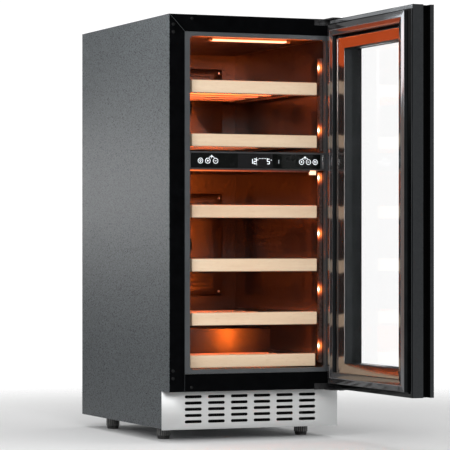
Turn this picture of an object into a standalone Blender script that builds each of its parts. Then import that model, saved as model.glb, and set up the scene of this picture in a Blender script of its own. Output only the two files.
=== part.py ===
"""Dual-zone under-counter wine cooler, door open at a right angle. Metres, +Z up, front towards -Y.

Cabinet pieces are placed in the cabinet's own frame: X = 0 at its middle, Y = 0 at the front face of
its rails and Z = 0 on the floor. Door pieces are placed as if the door were shut, under an empty on
the hinge axis that turns them open.
"""

import math

import bmesh
import bpy
from mathutils import Matrix, Vector

# Cabinet
CABINET_W = 0.380
CABINET_D = 0.523
CABINET_TOP = 0.8413
CASING_BOTTOM = 0.0270
SHEET = 0.0012
GAP = 0.0003
HALF_W = CABINET_W / 2
INSIDE_W = HALF_W - SHEET - GAP

# Toe kick and front frame
KICK_TOP = 0.1008
KICK_BOTTOM = 0.0240
KICK_SETBACK = 0.0411
BEHIND_KICK = KICK_SETBACK + SHEET + GAP
RAIL_SIDE_W = 0.0327
RAIL_TOP_H = 0.0334
RAIL_BOTTOM_TOP = 0.1357
RAIL_THICK = 0.0030
TRIM_W = 0.0112
TRIM_H = 0.0082
TRIM_DEPTH = 0.0120
TRIM_CORNER = 0.007

# Liner
LINER_HALF = 0.1465
LINER_SHEET = 0.0015
LINER_FRONT = TRIM_DEPTH + 2 * GAP
LINER_BACK = 0.4780
LINER_FLOOR = 0.1425
LINER_TOP = 0.8005
STEP_Y = 0.2850
STEP_TOP = 0.2140

# Machine space
DECK_Z = 0.1070
HUMP_Y = 0.3230
HUMP_Z = 0.1840

# Shelves, top to bottom: heights of the front bars' top edges
SHELF_TOPS = (0.7150, 0.6088, 0.4684, 0.3619, 0.2554, 0.1712)
BAR_H = 0.0252
BAR_THICK = 0.0200
BAR_HALF = 0.1350
BAR_Y = 0.0180
BOTTOM_BAR_Y = 0.0260
DECK_BACK = 0.4550
SHORT_DECK_BACK = 0.2700
LEDGE_RISE = 0.0040
LEDGE_THICK = 0.0040
LEDGE_IN = 0.1245
SLAT_COUNT = 6
SHORT_SLAT_COUNT = 4

# Zone divider and control bar
BAR_BOTTOM = 0.5385
BAR_TOP = 0.5735

# Door, as shut
DOOR_HALF = 0.1880
DOOR_BOTTOM = 0.1033
DOOR_TOP = 0.8381
DOOR_FRONT = -0.0558
DOOR_GLASS_BACK = -0.0518
DOOR_BACK = -0.0120
GASKET_BACK = -0.0085
GASKET_FACE = -0.0005
WINDOW_INSET = (0.066, 0.060, 0.052)
GRIP_DEPTH = 0.0150
GRIP_Y = (-0.0485, -0.0335)
PIVOT_X = 0.1670
PIVOT_Y = -0.0300
PIN_R = 0.0035
PIN_HOLE_R = 0.0038
PIN_HOLE_DEPTH = 0.0120

PIN_HEAD_R = 0.0052
PIN_HEAD_H = 0.0015
PIN_SHANK = 0.0125
PIN_CENTRE_DROP = 0.0048
PLATE = 0.0025
PLATE_GAP = 0.0006
PLATE_X = 0.1400
FLANGE_X = (0.1200, 0.1860)
FLANGE_THICK = 0.0028
PLATE_Y = (-0.0455, -0.0005)
TOP_FLANGE_LOW = 0.8285
BOTTOM_FLANGE_HIGH = 0.1125

# Layers of the door: insets from its sides, top and bottom, then depths
FRAME_OPENING = (0.0400, 0.0400, 0.0360)
FRAME_CORNER = 0.0060
GLASS_LIP = 0.0025
POCKET_OUT = (0.0170, 0.0140, 0.0140)
POCKET_IN = (0.0365, 0.0365, 0.0325)
POCKET_FRONT = -0.0310
RIM_INSET = (0.0120, 0.0080, 0.0080)
RIM_Y = (-0.0117, -0.0088)
REVEAL_INSET = (0.0410, 0.0410, 0.0370)
REVEAL_Y = (-0.0312, -0.0100)
SLOPE_WIDE = (0.01995, 0.0189)
SLOPE_FRONT = -0.0148
SLOPE_OVER = 0.0003
GASKET_OUT = (0.0160, 0.0110, 0.0105)
GASKET_IN = (0.0390, 0.0330, 0.0310)
GASKET_ROUND = 0.0015
INNER_GLASS_Y = (-0.0355, -0.0315)
SPACER_RIM = 0.0080
SPACER_BACK = -0.0358

# Control bar, lamps and fans
BAR_FACE_HALF = 0.1452
BAR_FACE_Y = (0.0020, 0.0400)
DIVIDER_Y = 0.0403
DIVIDER_INSET = 0.0035
PANEL_X = (-0.1425, 0.1350)
PANEL_Y = (0.0016, 0.0050)
PANEL_INSET = (0.0030, 0.0035)
CHANNEL_X = 0.1410
CHANNEL_Y = (0.0200, 0.0320)
CHANNEL_ENDS = (0.1530, 0.7640)
CHANNEL_CLEAR = 0.0040
CHANNEL_ROUND = 0.0012
LAMP_HALF = 0.0800
LAMP_Y = (0.0450, 0.0650)
LAMP_H = 0.0050
LAMP_ROUND = 0.0015
HUB_SHARE = 0.36
BLADE_REACH = 0.72
BLADE_WIDTH = 0.42
BLADE_START = 0.25
BLADE_THICK = 0.0016
BLADE_PITCH = 22
BLADES = 7
COVER_HALF = 0.1100
COVER_THICK = 0.0150
COVER_ROUND = 0.0012
COVER_HOLE_R = 0.0400
UPPER_COVER_Z = (0.6000, 0.7700)
LOWER_COVER_Z = (0.2800, 0.5000)
AIR_FAN_R = 0.0375
AIR_FAN_THICK = 0.0110

# Shelf decks
DECK_THICK = 0.0100
DECK_SIDE = 0.0005
RUNNER_W = 0.0120
SLAT_W = 0.0220
LAST_SLAT_W = 0.0120
BAR_ROUND = 0.0018
LEDGE_START = 0.0040

# Machine space
PAN = 0.0015
PANEL_LAP = 0.0020
COVER_TOP = HUMP_Z + 0.0017
REAR_SLOT = (0.0550, 0.0060)
REAR_SLOT_PITCH = (0.0750, 0.0200)
REAR_SLOT_FIRST = (-0.0550, 0.0700)
REAR_SLOT_COUNT = (3, 5)
INLET_X = (-0.1650, -0.1170)
INLET_Z = (0.0450, 0.0770)
INLET_DEPTH = 0.0240
SOCKET_HALF = (0.0125, 0.0090)
SOCKET_DEPTH = 0.0160
PRONGS = (("left", -0.0070, -0.0020), ("right", 0.0070, -0.0020), ("earth", 0.0, 0.0030))
PRONG_HALF = (0.0010, 0.0020)
PRONG_Y = (0.0180, 0.0030)
COMPRESSOR_AT = (0.0550, 0.4150)
COMPRESSOR_Z = (0.0330, 0.1730)
COMPRESSOR_R = 0.0560
COMPRESSOR_DOME = 0.0280
SEAM_OUT = 0.0040
SEAM_HALF = 0.0030
MOTOR_PLATE_X = (-0.0350, 0.1450)
MOTOR_PLATE_Y = (0.3500, 0.4800)
MOTOR_PLATE_TOP = 0.0345
CONDENSER_HALF = 0.1200
CONDENSER_Y = (0.0700, 0.1100)
CONDENSER_Z = (0.0320, 0.1020)
TUBE_FIRST = 0.0430
TUBE_PITCH = 0.0240
TUBE_R = 0.0040
TUBE_LENGTH = 0.2620
SHROUD_HALF = 0.0500
SHROUD_Y = (0.1400, 0.1600)
SHROUD_Z = (0.0310, 0.1050)
SHROUD_HOLE_R = 0.0345
SHROUD_FAN_AT = (0.0, 0.1500, 0.0675)
SHROUD_FAN_R = 0.0325
SHROUD_FAN_THICK = 0.0140

# Kick plate slots
KICK_SLOT_COUNT = (6, 5)
KICK_SLOT_R = 0.00265
KICK_SLOT_REACH = 0.0150
KICK_SLOT_PITCH = (0.0492, 0.0123)
KICK_SLOT_FIRST = 0.0395

# How far a cutter runs past the face it cuts
THROUGH = 0.0100
FAR = 0.1000

# Feet
FOOT_R = 0.0138
FOOT_SHOULDER = 0.0060
STEM_TOP = 0.0520
FOOT_SIDE = 0.0395
FOOT_FRONT_Y = 0.1348
FOOT_REAR_Y = 0.4379
STEM_R = 0.0050

# The origin is the middle of the whole footprint, door included, on the floor
DOOR_FREE_EDGE = PIVOT_Y - (PIVOT_X + DOOR_HALF)
DOOR_OUTER_X = PIVOT_X + PIVOT_Y - DOOR_FRONT
ORIGIN_X = (DOOR_OUTER_X - HALF_W) / 2
ORIGIN_Y = (DOOR_FREE_EDGE + CABINET_D) / 2

PALETTE = {
    "side_paint": ((0.095, 0.098, 0.104), 0.55, 0.3),
    "black_paint": ((0.012, 0.012, 0.013), 0.45, 0.2),
    "trim_grey": ((0.085, 0.088, 0.092), 0.40, 0.1),
    "stainless": ((0.62, 0.63, 0.64), 0.32, 1.0),
    "zinc_sheet": ((0.45, 0.46, 0.47), 0.45, 0.9),
    "liner_plastic": ((0.020, 0.019, 0.018), 0.35, 0.0),
    "beech": ((0.78, 0.60, 0.42), 0.55, 0.0),
    "black_steel": ((0.015, 0.015, 0.016), 0.40, 0.6),
    "glass": ((0.30, 0.31, 0.32), 0.05, 0.0),
    "panel_glass": ((0.006, 0.006, 0.007), 0.06, 0.0),
    "frame_paint": ((0.050, 0.052, 0.056), 0.45, 0.5),
    "rubber": ((0.012, 0.012, 0.012), 0.65, 0.0),
    "lens": ((0.90, 0.80, 0.65), 0.30, 0.0),
    "foam": ((0.85, 0.78, 0.55), 0.90, 0.0),
    "compressor_black": ((0.010, 0.010, 0.010), 0.35, 0.3),
    "aluminium": ((0.70, 0.71, 0.72), 0.40, 1.0),
    "dark_plastic": ((0.018, 0.018, 0.019), 0.50, 0.0),
}


# Scene helpers


def clear_scene():
    for obj in list(bpy.data.objects):
        bpy.data.objects.remove(obj, do_unlink=True)


def new_collection(name):
    collection = bpy.data.collections.new(name)
    bpy.context.scene.collection.children.link(collection)
    return collection


def make_materials():
    for name, (color, roughness, metallic) in PALETTE.items():
        material = bpy.data.materials.new(name)
        material.use_nodes = True
        shader = material.node_tree.nodes["Principled BSDF"]
        shader.inputs["Base Color"].default_value = (*color, 1.0)
        shader.inputs["Roughness"].default_value = roughness
        shader.inputs["Metallic"].default_value = metallic


def make_empty(name, location, parent=None):
    empty = bpy.data.objects.new(name, None)
    empty.location = location
    empty.parent = parent
    parts.objects.link(empty)
    return empty


def add_part(name, bm, material, parent, location=(0, 0, 0), collection=None):
    """Turns a bmesh into a named object, flat shaded, under its parent."""
    mesh = bpy.data.meshes.new(name)
    bm.to_mesh(mesh)
    bm.free()
    if material:
        mesh.materials.append(bpy.data.materials[material])
    obj = bpy.data.objects.new(name, mesh)
    obj.parent = parent
    obj.location = location
    (collection or parts).objects.link(obj)
    return obj


def as_cutter(obj):
    obj.hide_render = True
    obj.display_type = "WIRE"
    return obj


def cut(obj, cutter, operation="DIFFERENCE"):
    modifier = obj.modifiers.new(cutter.name, "BOOLEAN")
    modifier.operation = operation
    modifier.object = cutter


def bevel(obj, width, segments=1):
    modifier = obj.modifiers.new("edge_bevel", "BEVEL")
    modifier.width = width
    modifier.segments = segments
    modifier.limit_method = "ANGLE"
    modifier.angle_limit = math.radians(50)
    modifier.use_clamp_overlap = True


def smooth(obj, angle=35):
    obj.data.shade_smooth()
    obj.data.set_sharp_from_angle(angle=math.radians(angle))


# Shapes


def box_bmesh(low, high):
    """A box about its own centre, and that centre."""
    low, high = Vector(low), Vector(high)
    bm = bmesh.new()
    bmesh.ops.create_cube(bm, size=1.0)
    bmesh.ops.scale(bm, vec=high - low, verts=bm.verts)
    return bm, (low + high) / 2


def box(name, low, high, material, parent, offset=(0, 0, 0)):
    bm, centre = box_bmesh(low, high)
    return add_part(name, bm, material, parent, centre - Vector(offset))


def box_cutter(name, low, high, parent, offset=(0, 0, 0)):
    bm, centre = box_bmesh(low, high)
    return as_cutter(add_part(name, bm, None, parent, centre - Vector(offset), cutters))


def cylinder_bmesh(radius, length, axis="Z", sides=24, top_radius=None):
    bm = bmesh.new()
    bmesh.ops.create_cone(
        bm,
        cap_ends=True,
        segments=sides,
        radius1=radius,
        radius2=radius if top_radius is None else top_radius,
        depth=length,
    )
    if axis == "Y":
        bmesh.ops.rotate(bm, verts=bm.verts, matrix=Matrix.Rotation(math.radians(90), 3, "X"))
    if axis == "X":
        bmesh.ops.rotate(bm, verts=bm.verts, matrix=Matrix.Rotation(math.radians(90), 3, "Y"))
    return bm


def cylinder(name, centre, radius, length, material, parent, axis="Z", sides=24):
    obj = add_part(name, cylinder_bmesh(radius, length, axis, sides), material, parent, centre)
    smooth(obj)
    return obj


def cylinder_cutter(name, centre, radius, length, parent, axis="Z", sides=24):
    bm = cylinder_bmesh(radius, length, axis, sides)
    return as_cutter(add_part(name, bm, None, parent, centre, cutters))


def outline_plate(name, points, thickness, material, parent, location, turn=(0, 0, 0)):
    """A flat outline of local X, Y points, extruded both ways by half the thickness."""
    curve = bpy.data.curves.new(name, "CURVE")
    curve.dimensions = "2D"
    curve.fill_mode = "BOTH"
    curve.extrude = thickness / 2
    spline = curve.splines.new("POLY")
    spline.points.add(len(points) - 1)
    for point, (x, y) in zip(spline.points, points):
        point.co = (x, y, 0, 1)
    spline.use_cyclic_u = True
    curve.materials.append(bpy.data.materials[material])
    obj = bpy.data.objects.new(name, curve)
    obj.parent = parent
    obj.location = location
    obj.rotation_euler = turn
    parts.objects.link(obj)
    return obj


# Casing


def side_panel(name, side, cabinet):
    """Full-depth side sheet with the toe-kick notch at its lower front corner."""
    outline = [
        (0, KICK_TOP),
        (BEHIND_KICK, KICK_TOP),
        (BEHIND_KICK, CASING_BOTTOM),
        (CABINET_D, CASING_BOTTOM),
        (CABINET_D, CABINET_TOP),
        (0, CABINET_TOP),
    ]
    # local X runs along world Y and local Y along world Z
    turn = (math.radians(90), 0, math.radians(90))
    x = side * (HALF_W - SHEET / 2)
    return outline_plate(name, outline, SHEET, "side_paint", cabinet, (x, 0, 0), turn)


def casing(cabinet):
    side_panel("cabinet_left_side", -1, cabinet)
    side_panel("cabinet_right_side", 1, cabinet)
    back_y = CABINET_D - SHEET
    box(
        "cabinet_top",
        (-INSIDE_W, RAIL_THICK + GAP, CABINET_TOP - SHEET),
        (INSIDE_W, back_y - GAP, CABINET_TOP),
        "side_paint",
        cabinet,
    )
    box(
        "cabinet_back",
        (-INSIDE_W, back_y, HUMP_Z + PANEL_LAP),
        (INSIDE_W, CABINET_D, CABINET_TOP),
        "zinc_sheet",
        cabinet,
    )
    pan = box(
        "base_pan",
        (-INSIDE_W, BEHIND_KICK, CASING_BOTTOM),
        (INSIDE_W, back_y - GAP, CASING_BOTTOM + PAN),
        "zinc_sheet",
        cabinet,
    )
    for name, x, y in foot_places():
        centre = (x, y, CASING_BOTTOM)
        cut(pan, cylinder_cutter(f"{name}_hole", centre, STEM_R + GAP, THROUGH, cabinet, sides=16))


def rear_cover(cabinet):
    """Cover over the machine space, with rows of air slots and the opening for the power inlet."""
    cover = box(
        "rear_cover",
        (-INSIDE_W, CABINET_D - SHEET, CASING_BOTTOM + PANEL_LAP),
        (INSIDE_W, CABINET_D, COVER_TOP),
        "zinc_sheet",
        cabinet,
    )
    bm = bmesh.new()
    columns, rows = REAR_SLOT_COUNT
    for row in range(rows):
        for column in range(columns):
            x = REAR_SLOT_FIRST[0] + column * REAR_SLOT_PITCH[0]
            z = REAR_SLOT_FIRST[1] + row * REAR_SLOT_PITCH[1]
            slot, _ = box_bmesh((0, 0, 0), (REAR_SLOT[0], THROUGH, REAR_SLOT[1]))
            bmesh.ops.translate(slot, verts=slot.verts, vec=(x, CABINET_D, z))
            copy_into(slot, bm)
    cut(cover, as_cutter(add_part("rear_slots", bm, None, cabinet, collection=cutters)))
    low, high = inlet_box()
    grow = Vector((GAP, THROUGH, GAP))
    cut(cover, box_cutter("inlet_hole", Vector(low) - grow, Vector(high) + grow, cabinet))


def copy_into(source, target):
    """Adds one bmesh's faces to another, and frees the first."""
    mesh = bpy.data.meshes.new("joined")
    source.to_mesh(mesh)
    source.free()
    target.from_mesh(mesh)
    bpy.data.meshes.remove(mesh)


def inlet_box():
    back = CABINET_D - GAP
    return (INLET_X[0], back - INLET_DEPTH, INLET_Z[0]), (INLET_X[1], back, INLET_Z[1])


def power_inlet(cabinet):
    """Appliance inlet: a block with a socket and three blades."""
    low, high = inlet_box()
    block = box("power_inlet", low, high, "dark_plastic", cabinet)
    middle = (Vector(low) + Vector(high)) / 2
    back = high[1]
    half_x, half_z = SOCKET_HALF
    cut(
        block,
        box_cutter(
            "inlet_socket",
            (middle.x - half_x, back - SOCKET_DEPTH, middle.z - half_z),
            (middle.x + half_x, back + THROUGH, middle.z + half_z),
            cabinet,
        ),
    )
    half_x, half_z = PRONG_HALF
    for name, x, z in PRONGS:
        blade = box_cutter(
            f"inlet_blade_{name}",
            (middle.x + x - half_x, back - PRONG_Y[0], middle.z + z - half_z),
            (middle.x + x + half_x, back - PRONG_Y[1], middle.z + z + half_z),
            cabinet,
        )
        cut(block, blade, "UNION")


# Front frame


def rails(cabinet):
    """Four flat rails: mitred at the top corners, butted at the bottom ones."""
    turn = (math.radians(90), 0, 0)
    y = RAIL_THICK / 2
    inner = HALF_W - RAIL_SIDE_W
    outer = INSIDE_W
    top_in = CABINET_TOP - RAIL_TOP_H
    joint = GAP / 2
    for name, side in (("rail_left", -1), ("rail_right", 1)):
        outline = [
            (side * outer, KICK_TOP + GAP),
            (side * inner, KICK_TOP + GAP),
            (side * inner, top_in - joint),
            (side * outer, CABINET_TOP - joint - 0.0015),
        ]
        outline_plate(name, outline, RAIL_THICK, "black_paint", cabinet, (0, y, 0), turn)
    top_outline = [
        (-outer + joint, CABINET_TOP),
        (outer - joint, CABINET_TOP),
        (inner - joint, top_in),
        (-inner + joint, top_in),
    ]
    outline_plate("rail_top", top_outline, RAIL_THICK, "black_paint", cabinet, (0, y, 0), turn)
    box(
        "rail_bottom",
        (-inner + GAP, 0, KICK_TOP + GAP),
        (inner - GAP, RAIL_THICK, RAIL_BOTTOM_TOP),
        "black_paint",
        cabinet,
    )


def opening_trim(cabinet):
    """Grey ring that lines the opening, with rounded inner corners."""
    outer_x = HALF_W - RAIL_SIDE_W - GAP
    low_z = RAIL_BOTTOM_TOP + GAP
    high_z = CABINET_TOP - RAIL_TOP_H - GAP
    ring = box(
        "opening_trim",
        (-outer_x, 0.0003, low_z),
        (outer_x, TRIM_DEPTH, high_z),
        "trim_grey",
        cabinet,
    )
    inner_x = outer_x - TRIM_W + GAP
    bm, centre = box_bmesh(
        (-inner_x, -THROUGH, low_z + TRIM_H),
        (inner_x, TRIM_DEPTH + THROUGH, high_z - TRIM_H),
    )
    along_y = [e for e in bm.edges if abs((e.verts[0].co - e.verts[1].co).y) > 0.01]
    bmesh.ops.bevel(bm, geom=along_y, offset=TRIM_CORNER, segments=4, profile=0.5, affect="EDGES")
    cut(ring, as_cutter(add_part("trim_opening", bm, None, cabinet, centre, cutters)))


def kick_plate(cabinet):
    """Stainless plate with five rows of six round-ended air slots."""
    plate = box(
        "kick_plate",
        (-HALF_W, KICK_SETBACK, KICK_BOTTOM),
        (HALF_W, KICK_SETBACK + SHEET, KICK_TOP),
        "stainless",
        cabinet,
    )
    slots = bmesh.new()
    columns, rows = KICK_SLOT_COUNT
    for row in range(rows):
        for column in range(columns):
            slot = cylinder_bmesh(KICK_SLOT_R, THROUGH, "Y", 14)
            for vert in slot.verts:
                vert.co.x += math.copysign(KICK_SLOT_REACH, vert.co.x)
            x = (column - (columns - 1) / 2) * KICK_SLOT_PITCH[0]
            z = KICK_SLOT_FIRST + row * KICK_SLOT_PITCH[1]
            bmesh.ops.translate(slot, verts=slot.verts, vec=(x, KICK_SETBACK, z))
            copy_into(slot, slots)
    cut(plate, as_cutter(add_part("kick_slots", slots, None, cabinet, collection=cutters)))


# Liner and insulation


def shelf_bottom(index):
    return SHELF_TOPS[index] - BAR_H


def shelf_depth(index):
    """Front of the bar, back of the deck and number of slats. The bottom shelf clears the step."""
    if index == len(SHELF_TOPS) - 1:
        return BOTTOM_BAR_Y, SHORT_DECK_BACK, SHORT_SLAT_COUNT
    return BAR_Y, DECK_BACK, SLAT_COUNT


def liner_wall(name, side, cabinet):
    """Side wall with one ledge under each shelf. The wall steps up over the machine space."""
    inner, outer = LINER_HALF, LINER_HALF + LINER_SHEET
    low, high = sorted((side * inner, side * outer))
    wall = box(
        name,
        (low, LINER_FRONT, LINER_FLOOR),
        (high, LINER_BACK, LINER_TOP),
        "liner_plastic",
        cabinet,
    )
    cut(
        wall,
        box_cutter(
            f"{name}_step",
            (low - THROUGH, STEP_Y, LINER_FLOOR - THROUGH),
            (high + THROUGH, LINER_BACK + THROUGH, STEP_TOP),
            cabinet,
        ),
    )
    ledges = bmesh.new()
    for index in range(len(SHELF_TOPS)):
        bottom = shelf_bottom(index) + LEDGE_RISE
        front_y, back, _ = shelf_depth(index)
        start = front_y + BAR_THICK + LEDGE_START
        ledge_low, ledge_high = sorted((side * LEDGE_IN, side * (inner + LINER_SHEET / 2)))
        ledge, centre = box_bmesh(
            (ledge_low, start, bottom), (ledge_high, back, bottom + LEDGE_THICK)
        )
        bmesh.ops.translate(ledge, verts=ledge.verts, vec=centre)
        copy_into(ledge, ledges)
    ledge_part = as_cutter(
        add_part(f"{name}_ledges", ledges, None, cabinet, collection=cutters)
    )
    cut(wall, ledge_part, "UNION")


def liner(cabinet):
    liner_wall("liner_left_wall", -1, cabinet)
    liner_wall("liner_right_wall", 1, cabinet)
    half = LINER_HALF + LINER_SHEET
    box(
        "liner_ceiling",
        (-half, LINER_FRONT, LINER_TOP + GAP),
        (half, LINER_BACK, LINER_TOP + GAP + LINER_SHEET),
        "liner_plastic",
        cabinet,
    )
    box(
        "liner_back_wall",
        (-half, LINER_BACK + GAP, STEP_TOP - LINER_SHEET),
        (half, LINER_BACK + GAP + LINER_SHEET, LINER_TOP + GAP + LINER_SHEET),
        "liner_plastic",
        cabinet,
    )
    floor_outline = [
        (LINER_FRONT, LINER_FLOOR - GAP),
        (STEP_Y, LINER_FLOOR - GAP),
        (STEP_Y, STEP_TOP - GAP),
        (LINER_BACK, STEP_TOP - GAP),
        (LINER_BACK, STEP_TOP - GAP - LINER_SHEET),
        (STEP_Y + LINER_SHEET, STEP_TOP - GAP - LINER_SHEET),
        (STEP_Y + LINER_SHEET, LINER_FLOOR - GAP - LINER_SHEET),
        (LINER_FRONT, LINER_FLOOR - GAP - LINER_SHEET),
    ]
    turn = (math.radians(90), 0, math.radians(90))
    outline_plate(
        "liner_floor", floor_outline, 2 * half, "liner_plastic", cabinet, (0, 0, 0), turn
    )


def insulation(cabinet):
    """Foam between the casing and the liner, stepped over the machine space."""
    half = LINER_HALF + LINER_SHEET + GAP
    foam = box(
        "insulation_foam",
        (-INSIDE_W + GAP, LINER_FRONT, DECK_Z + SHEET + 2 * GAP),
        (INSIDE_W - GAP, CABINET_D - SHEET - GAP, CABINET_TOP - SHEET - GAP),
        "foam",
        cabinet,
    )
    roof = LINER_TOP + LINER_SHEET + 2 * GAP
    back = LINER_BACK + LINER_SHEET + 2 * GAP
    drop = LINER_SHEET + 3 * GAP
    cut(
        foam,
        box_cutter(
            "cavity_low",
            (-half, -THROUGH, LINER_FLOOR - drop),
            (half, STEP_Y + LINER_SHEET + GAP, roof),
            cabinet,
        ),
    )
    cut(
        foam,
        box_cutter("cavity_high", (-half, FAR, STEP_TOP - drop), (half, back, roof), cabinet),
    )
    cut(
        foam,
        box_cutter(
            "hump",
            (-CABINET_W, HUMP_Y - GAP, DECK_Z - THROUGH),
            (CABINET_W, CABINET_D + THROUGH, HUMP_Z + SHEET + 2 * GAP),
            cabinet,
        ),
    )
    deck_outline = [
        (LINER_FRONT, DECK_Z),
        (HUMP_Y + SHEET, DECK_Z),
        (HUMP_Y + SHEET, HUMP_Z),
        (CABINET_D - SHEET - GAP, HUMP_Z),
        (CABINET_D - SHEET - GAP, HUMP_Z + SHEET),
        (HUMP_Y, HUMP_Z + SHEET),
        (HUMP_Y, DECK_Z + SHEET),
        (LINER_FRONT, DECK_Z + SHEET),
    ]
    turn = (math.radians(90), 0, math.radians(90))
    outline_plate(
        "machine_deck", deck_outline, 2 * (INSIDE_W - GAP), "zinc_sheet", cabinet, (0, 0, 0), turn
    )


# Inside of the cabinet


def controls(cabinet):
    """Insulated divider, the bar in front of it and the touch glass in the bar's face."""
    side = LINER_HALF - GAP
    box(
        "zone_divider",
        (-side, DIVIDER_Y, BAR_BOTTOM + DIVIDER_INSET),
        (side, LINER_BACK - GAP, BAR_TOP - DIVIDER_INSET),
        "liner_plastic",
        cabinet,
    )
    bar = box(
        "control_bar",
        (-BAR_FACE_HALF, BAR_FACE_Y[0], BAR_BOTTOM),
        (BAR_FACE_HALF, BAR_FACE_Y[1], BAR_TOP),
        "dark_plastic",
        cabinet,
    )
    glass_low = Vector((PANEL_X[0], PANEL_Y[0], BAR_BOTTOM + PANEL_INSET[0]))
    glass_high = Vector((PANEL_X[1], PANEL_Y[1], BAR_TOP - PANEL_INSET[1]))
    grow = Vector((GAP, GAP, GAP))
    cut(bar, box_cutter("panel_recess", glass_low - grow * 4, glass_high + grow, cabinet))
    box("touch_panel", glass_low, glass_high, "panel_glass", cabinet)


def lights(cabinet):
    """LED channels on the right wall, one in each zone, and a bar under the ceiling."""
    front, back = CHANNEL_Y
    for name, low, high in (
        ("led_channel_upper", BAR_TOP + CHANNEL_CLEAR, CHANNEL_ENDS[1]),
        ("led_channel_lower", CHANNEL_ENDS[0], BAR_BOTTOM - CHANNEL_CLEAR),
    ):
        outer = LINER_HALF - GAP
        channel = box(name, (CHANNEL_X, front, low), (outer, back, high), "lens", cabinet)
        bevel(channel, CHANNEL_ROUND)
    lamp = box(
        "ceiling_light",
        (-LAMP_HALF, LAMP_Y[0], LINER_TOP - LAMP_H),
        (LAMP_HALF, LAMP_Y[1], LINER_TOP),
        "lens",
        cabinet,
    )
    bevel(lamp, LAMP_ROUND)


def fan_rotor(name, centre, radius, thickness, cabinet):
    """Hub and seven pitched blades that turn about Y, with the origin on the axis."""
    hub = cylinder(name, centre, radius * HUB_SHARE, thickness, "dark_plastic", cabinet, "Y", 20)
    blades = bmesh.new()
    reach = radius * BLADE_REACH
    pitch = Matrix.Rotation(math.radians(BLADE_PITCH), 3, "X")
    for index in range(BLADES):
        blade, _ = box_bmesh((0, 0, 0), (reach, BLADE_THICK, radius * BLADE_WIDTH))
        bmesh.ops.rotate(blade, verts=blade.verts, matrix=pitch)
        out = radius * BLADE_START + reach / 2
        bmesh.ops.translate(blade, verts=blade.verts, vec=(out, 0, 0))
        turn = Matrix.Rotation(index * math.tau / BLADES, 3, "Y")
        bmesh.ops.rotate(blade, verts=blade.verts, matrix=turn)
        copy_into(blade, blades)
    blade_part = add_part(f"{name}_blades", blades, None, cabinet, centre, cutters)
    cut(hub, as_cutter(blade_part), "UNION")


def air_cover(name, low_z, high_z, cabinet):
    """Shallow cover on the back wall, with a round opening for its fan."""
    back = LINER_BACK - GAP
    centre = (0, back - COVER_THICK / 2, (low_z + high_z) / 2)
    cover = box(
        f"{name}_air_cover",
        (-COVER_HALF, back - COVER_THICK, low_z),
        (COVER_HALF, back, high_z),
        "liner_plastic",
        cabinet,
    )
    hole = cylinder_cutter(f"{name}_fan_hole", centre, COVER_HOLE_R, FAR, cabinet, "Y", 28)
    cut(cover, hole)
    bevel(cover, COVER_ROUND)
    fan_rotor(f"{name}_air_fan", centre, AIR_FAN_R, AIR_FAN_THICK, cabinet)


def shelf(index, cabinet):
    """One pull-out shelf: a beech bar in front of a slatted deck."""
    number = index + 1
    bottom = shelf_bottom(index)
    front_y, back, slats = shelf_depth(index)
    slide = make_empty(f"shelf_{number}_slide", (0, front_y, bottom), cabinet)
    offset = (0, front_y, bottom)
    bar = box(
        f"shelf_{number}_front",
        (-BAR_HALF, front_y, bottom),
        (BAR_HALF, front_y + BAR_THICK, bottom + BAR_H),
        "beech",
        slide,
        offset,
    )
    bevel(bar, BAR_ROUND, 2)
    low = bottom + LEDGE_RISE + LEDGE_THICK + GAP
    start = front_y + BAR_THICK + GAP
    side = BAR_HALF - DECK_SIDE
    deck = box(
        f"shelf_{number}_deck",
        (-side, start, low),
        (side, back, low + DECK_THICK),
        "black_steel",
        slide,
        offset,
    )
    pitch = (back - start) / slats
    bays = bmesh.new()
    for bay in range(slats):
        bay_low = start + bay * pitch + SLAT_W
        bay_high = start + (bay + 1) * pitch - (LAST_SLAT_W if bay == slats - 1 else 0)
        hole, centre = box_bmesh(
            (-side + RUNNER_W, bay_low, low - THROUGH),
            (side - RUNNER_W, bay_high, low + DECK_THICK + THROUGH),
        )
        bmesh.ops.translate(hole, verts=hole.verts, vec=centre - Vector(offset))
        copy_into(hole, bays)
    cut(deck, as_cutter(add_part(f"deck_{number}_bays", bays, None, slide, collection=cutters)))


# Door


def door_box(inset, y_low, y_high, grow=0.0):
    """Corners of a rectangle inset from the door's sides, top and bottom."""
    side, top, bottom = inset
    return (
        (-DOOR_HALF + side - grow, y_low, DOOR_BOTTOM + bottom - grow),
        (DOOR_HALF - side + grow, y_high, DOOR_TOP - top + grow),
    )


def door_part(name, inset, y_low, y_high, material, hinge):
    low, high = door_box(inset, y_low, y_high)
    return box(name, low, high, material, hinge, (PIVOT_X, PIVOT_Y, 0))


def door_cutter(name, inset, y_low, y_high, hinge):
    low, high = door_box(inset, y_low, y_high)
    return box_cutter(name, low, high, hinge, (PIVOT_X, PIVOT_Y, 0))


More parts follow.
